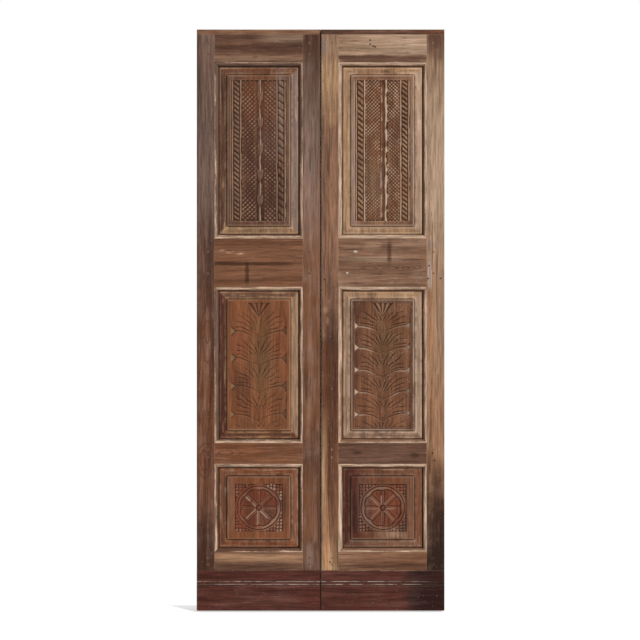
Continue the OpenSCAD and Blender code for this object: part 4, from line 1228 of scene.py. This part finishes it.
# %% Looks of the lower panels
PANELS.update({
    "left_lower_panel": dict(
        carve=carve_lower, deep=4.0,
        dirt_and_shade=(0.9, 0.3, 0.6, 0.5), bared=(0.5, 0.3, 0.25, 0.25), old=(0.4, 0.3, 0.3, 0.3),
        look=dict(corner_pale=0.5, rim_pale=0.7, spoke_highlights=(0.05, 0.2, 0.3, 0.95, 0.6, 0.6, 0.1, 0.95)),
        wood=dict(
            field="rust", ground="brick", tip="rust", veil="red_oxide", veil_share=0.4,
            soot=0.9, old_paint="red_oxide", bevels=("chestnut", "chestnut", "rust", "rust"),
            stains=[Mark(-135, 400, 18, 110, "umber", 0.75, 0.7),
                    Mark(-330, 400, 10, 100, "clay", 0.6, 0.7),
                    Mark(-200, 350, 30, 30, "walnut", 0.6)])),
    "right_lower_panel": dict(
        carve=carve_lower, deep=4.0,
        dirt_and_shade=(0.95, 0.1, 0.2, 0.5), bared=(0.2, 0.2, 0.3, 0.45), old=(0.6, 0.2, 0.4, 0.3),
        look=dict(corner_pale=0.35, rim_pale=0.0, spoke_highlights=(1.0, 0.6, 0.9, 0.7, 0.4, 0.6, 0.6, 0.8)),
        wood=dict(
            field="russet", ground="brick", tip="chestnut", veil="red_oxide", pale="pale_tan", soot=1.0,
            old_paint="red_oxide", bevels=("red_oxide", "russet", "chestnut", "clay"),
            stains=[Mark(110, 410, 55, 200, "red_oxide", 0.95, 0.7, 1.0),
                    Mark(127, 360, 12, 70, "oxide_black", 0.8),
                    Mark(163, 400, 20, 80, "mauve_brown", 0.55),
                    Mark(225, 400, 1.5, 160, "red_oxide", 0.8, 0.45, 4.0),
                    Mark(268, 290, 45, 20, "tan", 0.8),
                    Mark(302, 310, 14, 16, "soot", 0.7),
                    Mark(330, 400, 20, 130, "clay", 0.5)])),
})
print("panels:", len(PANELS))

# %% Carve and paint the panels
PANEL_SEED = 11
PANEL_SHIFT = 0.53
for number, (node, panel) in enumerate(PANELS.items()):
    wood = panel.pop("wood")
    board = carved_panel(node, seed=PANEL_SEED * number, **panel)
    board.data.materials.append(carved_wood(node + "_wood", shift=PANEL_SHIFT * (number + 1), **wood))
    print(node, "has", len(board.data.polygons), "faces")

# %% [markdown]
# ## Mouldings
#
# Each opening is framed by four mitred strips. A strip is its section, a flat edge and a quarter round,
# carried along the opening's side and cut at 45 degrees, which only means that a point further in starts
# later and ends sooner. A little random wear keeps the strips from looking like plastic.

# %% Section of a strip
MOULDING_W = 14.0
MOULDING_PROUD = 1.0
MOULDING_BACK = 13.0
ROUND_R = 9.8
MITRE_GAP = 0.2
STRIP_STEP = 5.5
STRIP_WEAR = 0.22
CHIP_FROM = 1.6
CHIP_DEPTH = 1.2

angles = np.radians(np.arange(0, 91, 10))
flat_w = MOULDING_W - ROUND_R - 1
SECTION = [(0.0, MOULDING_BACK), (0.0, 0.2 - MOULDING_PROUD), (0.5, -MOULDING_PROUD)]
SECTION += [(flat_w + ROUND_R * math.sin(a), ROUND_R * (1 - math.cos(a)) - MOULDING_PROUD) for a in angles]
SECTION += [(MOULDING_W - 0.3, ROUND_R - MOULDING_PROUD + 0.3), (MOULDING_W, ROUND_R - MOULDING_PROUD + 1)]
SECTION += [(MOULDING_W, MOULDING_BACK)]


def strip_points(length, seed):
    """Points of one strip: along, in from the edge, and behind the face."""
    inset, depth = np.array(SECTION).T
    count = int(length / STRIP_STEP) + 1
    share = np.linspace(0, 1, count)[:, None]
    start = inset + MITRE_GAP / 2
    along = start + share * (length - 2 * start)
    wear = STRIP_WEAR * wander((count, len(inset)), 4, seed)
    loose = (depth < MOULDING_BACK - 1) & (inset > 0.1) & (inset < MOULDING_W - 0.1)
    chip = np.clip(wander((count, len(inset)), 5, seed + 7) - CHIP_FROM, 0, 1) * CHIP_DEPTH
    depths = depth + (np.abs(wear) + chip) * loose
    return along, np.broadcast_to(inset, along.shape), depths


print("a strip's section has", len(SECTION), "points")


# %% Moulding strips
def moulding(node, seed):
    """Four mitred strips round an opening, as one piece."""
    low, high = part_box(node)
    sizes = ((high.x - low.x) / MM, (high.z - low.z) / MM)
    middle = (low + high) / 2
    points, faces, inner, quarters = [], [], [], []
    for quarter in range(4):
        run, off = sizes[quarter % 2], sizes[1 - quarter % 2]
        along, inset, depth = strip_points(run, seed + 20 * quarter)
        turn = quarter * math.pi / 2
        local_x, local_z = along - run / 2, inset - off / 2
        wx = local_x * math.cos(turn) - local_z * math.sin(turn)
        wz = local_x * math.sin(turn) + local_z * math.cos(turn)
        placed = np.stack([middle.x + wx * MM, face_y + depth * MM, middle.z + wz * MM], -1)
        rows, columns = along.shape
        ids = np.arange(rows * columns).reshape(rows, columns) + len(points)
        beside = np.roll(ids, -1, axis=1)
        faces += np.stack([ids[:-1], beside[:-1], beside[1:], ids[1:]], -1).reshape(-1, 4).tolist()
        faces += [ids[0, ::-1].tolist(), ids[-1].tolist()]
        points += placed.reshape(-1, 3).tolist()
        inner += (inset / MOULDING_W).ravel().tolist()
        quarters += [quarter] * ((rows - 1) * columns + 2)
    mesh = bpy.data.meshes.new(node + "_strips")
    mesh.from_pydata(points, [], faces)
    mesh.polygons.foreach_set("material_index", quarters)
    keep_number(mesh, "inner", np.array(inner), 0)
    mesh.update()
    piece = show(node + "_strips", mesh)
    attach(piece, node.split("_")[0] + "_leaf")
    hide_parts(node)
    return piece


print("rows along a strip lie", STRIP_STEP, "mm apart")

# %% Bare wood on the strips
def bare_strip(name, along, shift, bare, paint_tone, paint_left):
    """A strip whose crest is rubbed pale, with more old paint the further in it lies."""
    paint = Paint(name, roughness=0.62)
    fibres = paint.noise(grain_place(paint, along, shift), 260, 4, 0.6)
    patches = paint.noise(grain_place(paint, along, shift, 0.16), 26, 5, 0.62)
    flecks = paint.noise(grain_place(paint, along, shift, 0.4), 300, 3, 0.6)
    tint = paint.mix(paint.fade(fibres, 0.3, 0.7), bare, "bare_wood")
    kept = paint.blend((patches, 1.2), (paint.stored("inner"), 0.45), (flecks, 0.3))
    tint = paint.mix(paint.fade(kept, 1.23 - 0.6 * paint_left, 1.45 - 0.6 * paint_left), tint, paint_tone)
    tint = paint.brighten(tint, paint.fade(fibres, 0.33, 0.67, 0.68, 1.22))
    # Painted shade in the joints round the strip.
    tint = paint.mix(paint.times(paint.crevice_shade(JOINT_REACH), 0.85), tint, "soot")
    return paint.finish(tint, fibres, 0.3)


MOULDINGS = {
    "left_upper_moulding": ("tan", "mauve_brown", (0.55, 0.62, 0.95, 0.9)),
    "left_middle_moulding": ("tan", "mauve_brown", (0.5, 0.6, 0.5, 0.8)),
    "left_lower_moulding": ("clay", "walnut", (0.9, 0.75, 0.5, 0.6)),
    "right_upper_moulding": ("pale_tan", "clay", (0.3, 0.5, 0.6, 0.4)),
    "right_middle_moulding": ("pale_tan", "clay", (0.75, 0.5, 0.4, 0.4)),
    "right_lower_moulding": ("pale_tan", "clay", (0.7, 0.5, 0.35, 0.3)),
}
STRIP_SEED = 300
STRIP_SHIFT = 0.71
SIDES = (("bottom", "x"), ("right", "z"), ("top", "x"), ("left", "z"))
for number, (node, (bare, paint_tone, paint_left)) in enumerate(MOULDINGS.items()):
    strips = moulding(node, seed=STRIP_SEED + number)
    for (side, along), left in zip(SIDES, paint_left):
        strips.data.materials.append(bare_strip(
            node + "_wood_" + side, along, STRIP_SHIFT * (number + 1), bare, paint_tone, left))
print("mouldings:", len(MOULDINGS))

# %% [markdown]
# ## Pegs, iron and the plain frame
#
# The pegs show their end grain, so they have spots and rings and no long fibres, in colours close to the
# planks'. The hinges are old iron: dark, a little rusty where the noise runs high, and rougher there. The
# frame behind the leaves is plain brown wood.

# %% Pegs and iron
def end_grain(name, dark, light):
    """The end of a peg, close in colour to the plank that it sits in."""
    paint = Paint(name, roughness=0.7)
    spots = paint.noise(paint.stretch(EVEN, 0.2), 420, 4, 0.6)
    rings = paint.noise(paint.stretch(EVEN, 0.9), 90, 3, 0.5)
    tint = paint.mix(paint.fade(spots, 0.35, 0.65), dark, light)
    tint = paint.mix(paint.fade(rings, 0.5, 0.65, 0.0, 0.4), tint, "umber")
    dirt_and_shade = paint.times(stain_mask(paint, STILE_DIRT, rings), 2.0)
    tint = paint.mix(paint.calc("MINIMUM", dirt_and_shade, 1.0), tint, "soot")
    return paint.finish(tint, spots, 0.3, 0.5 * MM)


def old_iron(name):
    """Dark iron with rust in patches."""
    paint = Paint(name, roughness=0.62)
    paint.shader.inputs["Metallic"].default_value = 0.7
    grains = paint.noise(paint.stretch(EVEN, 0.1), 500, 5, 0.65)
    patches = paint.noise(paint.stretch(EVEN, 0.4), 60, 5, 0.6)
    tint = paint.mix(paint.fade(grains, 0.35, 0.65, 0.0, 0.5), "iron", "soot")
    tint = paint.mix(paint.fade(patches, 0.48, 0.66, 0.0, 0.85), tint, "iron_rust")
    return paint.finish(tint, grains, 0.35, 0.4 * MM, matt=patches)


left_pegs = end_grain("left_peg_wood", "walnut", "mauve_brown")
right_pegs = end_grain("right_peg_wood", "chestnut", "honey")
iron = old_iron("old_iron")
for node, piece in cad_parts.items():
    if "pegs" in node or "dowels" in node:
        wear_material(piece, right_pegs if node.startswith("right") else left_pegs)
    elif "plate" in node or "screws" in node or "pins" in node:
        wear_material(piece, iron)
print("end grain and iron painted")

# %% Frame
FRAME_PLANKS = {"left_jamb": "z", "right_jamb": "z", "head": "x", "sill": "x"}
FRAME_ENDS = {"z": 2.2, "x": 0.5}
FIRST_SHIFT = 0.9
FRAME_SHIFT = 0.41
for number, (node, along) in enumerate(FRAME_PLANKS.items()):
    soften_edges(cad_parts[node], 2 * EDGE_ROUND)
    wear_material(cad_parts[node], aged_wood(
        node + "_wood", along, [(-0.5, "walnut"), (FRAME_ENDS[along], "chestnut")],
        shift=FIRST_SHIFT + FRAME_SHIFT * number,
        wear=0.2, dust="clay", dust_share=0.3, residue=0.1, seam_shadow=0.0))
print("plain frame planks:", len(FRAME_PLANKS))

# %% [markdown]
# ## Sizes at the end
#
# The last step prints how much the box of the dressed model differs from the box of the packed one. They
# should agree to within a millimetre or two, because the carving only ever cuts into the boards.

# %% Compare the boxes
seen_low, seen_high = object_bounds()
grown = (seen_high - seen_low) - (cad_high - cad_low)
print("grown by, in mm:", [round(v / MM, 2) for v in grown])
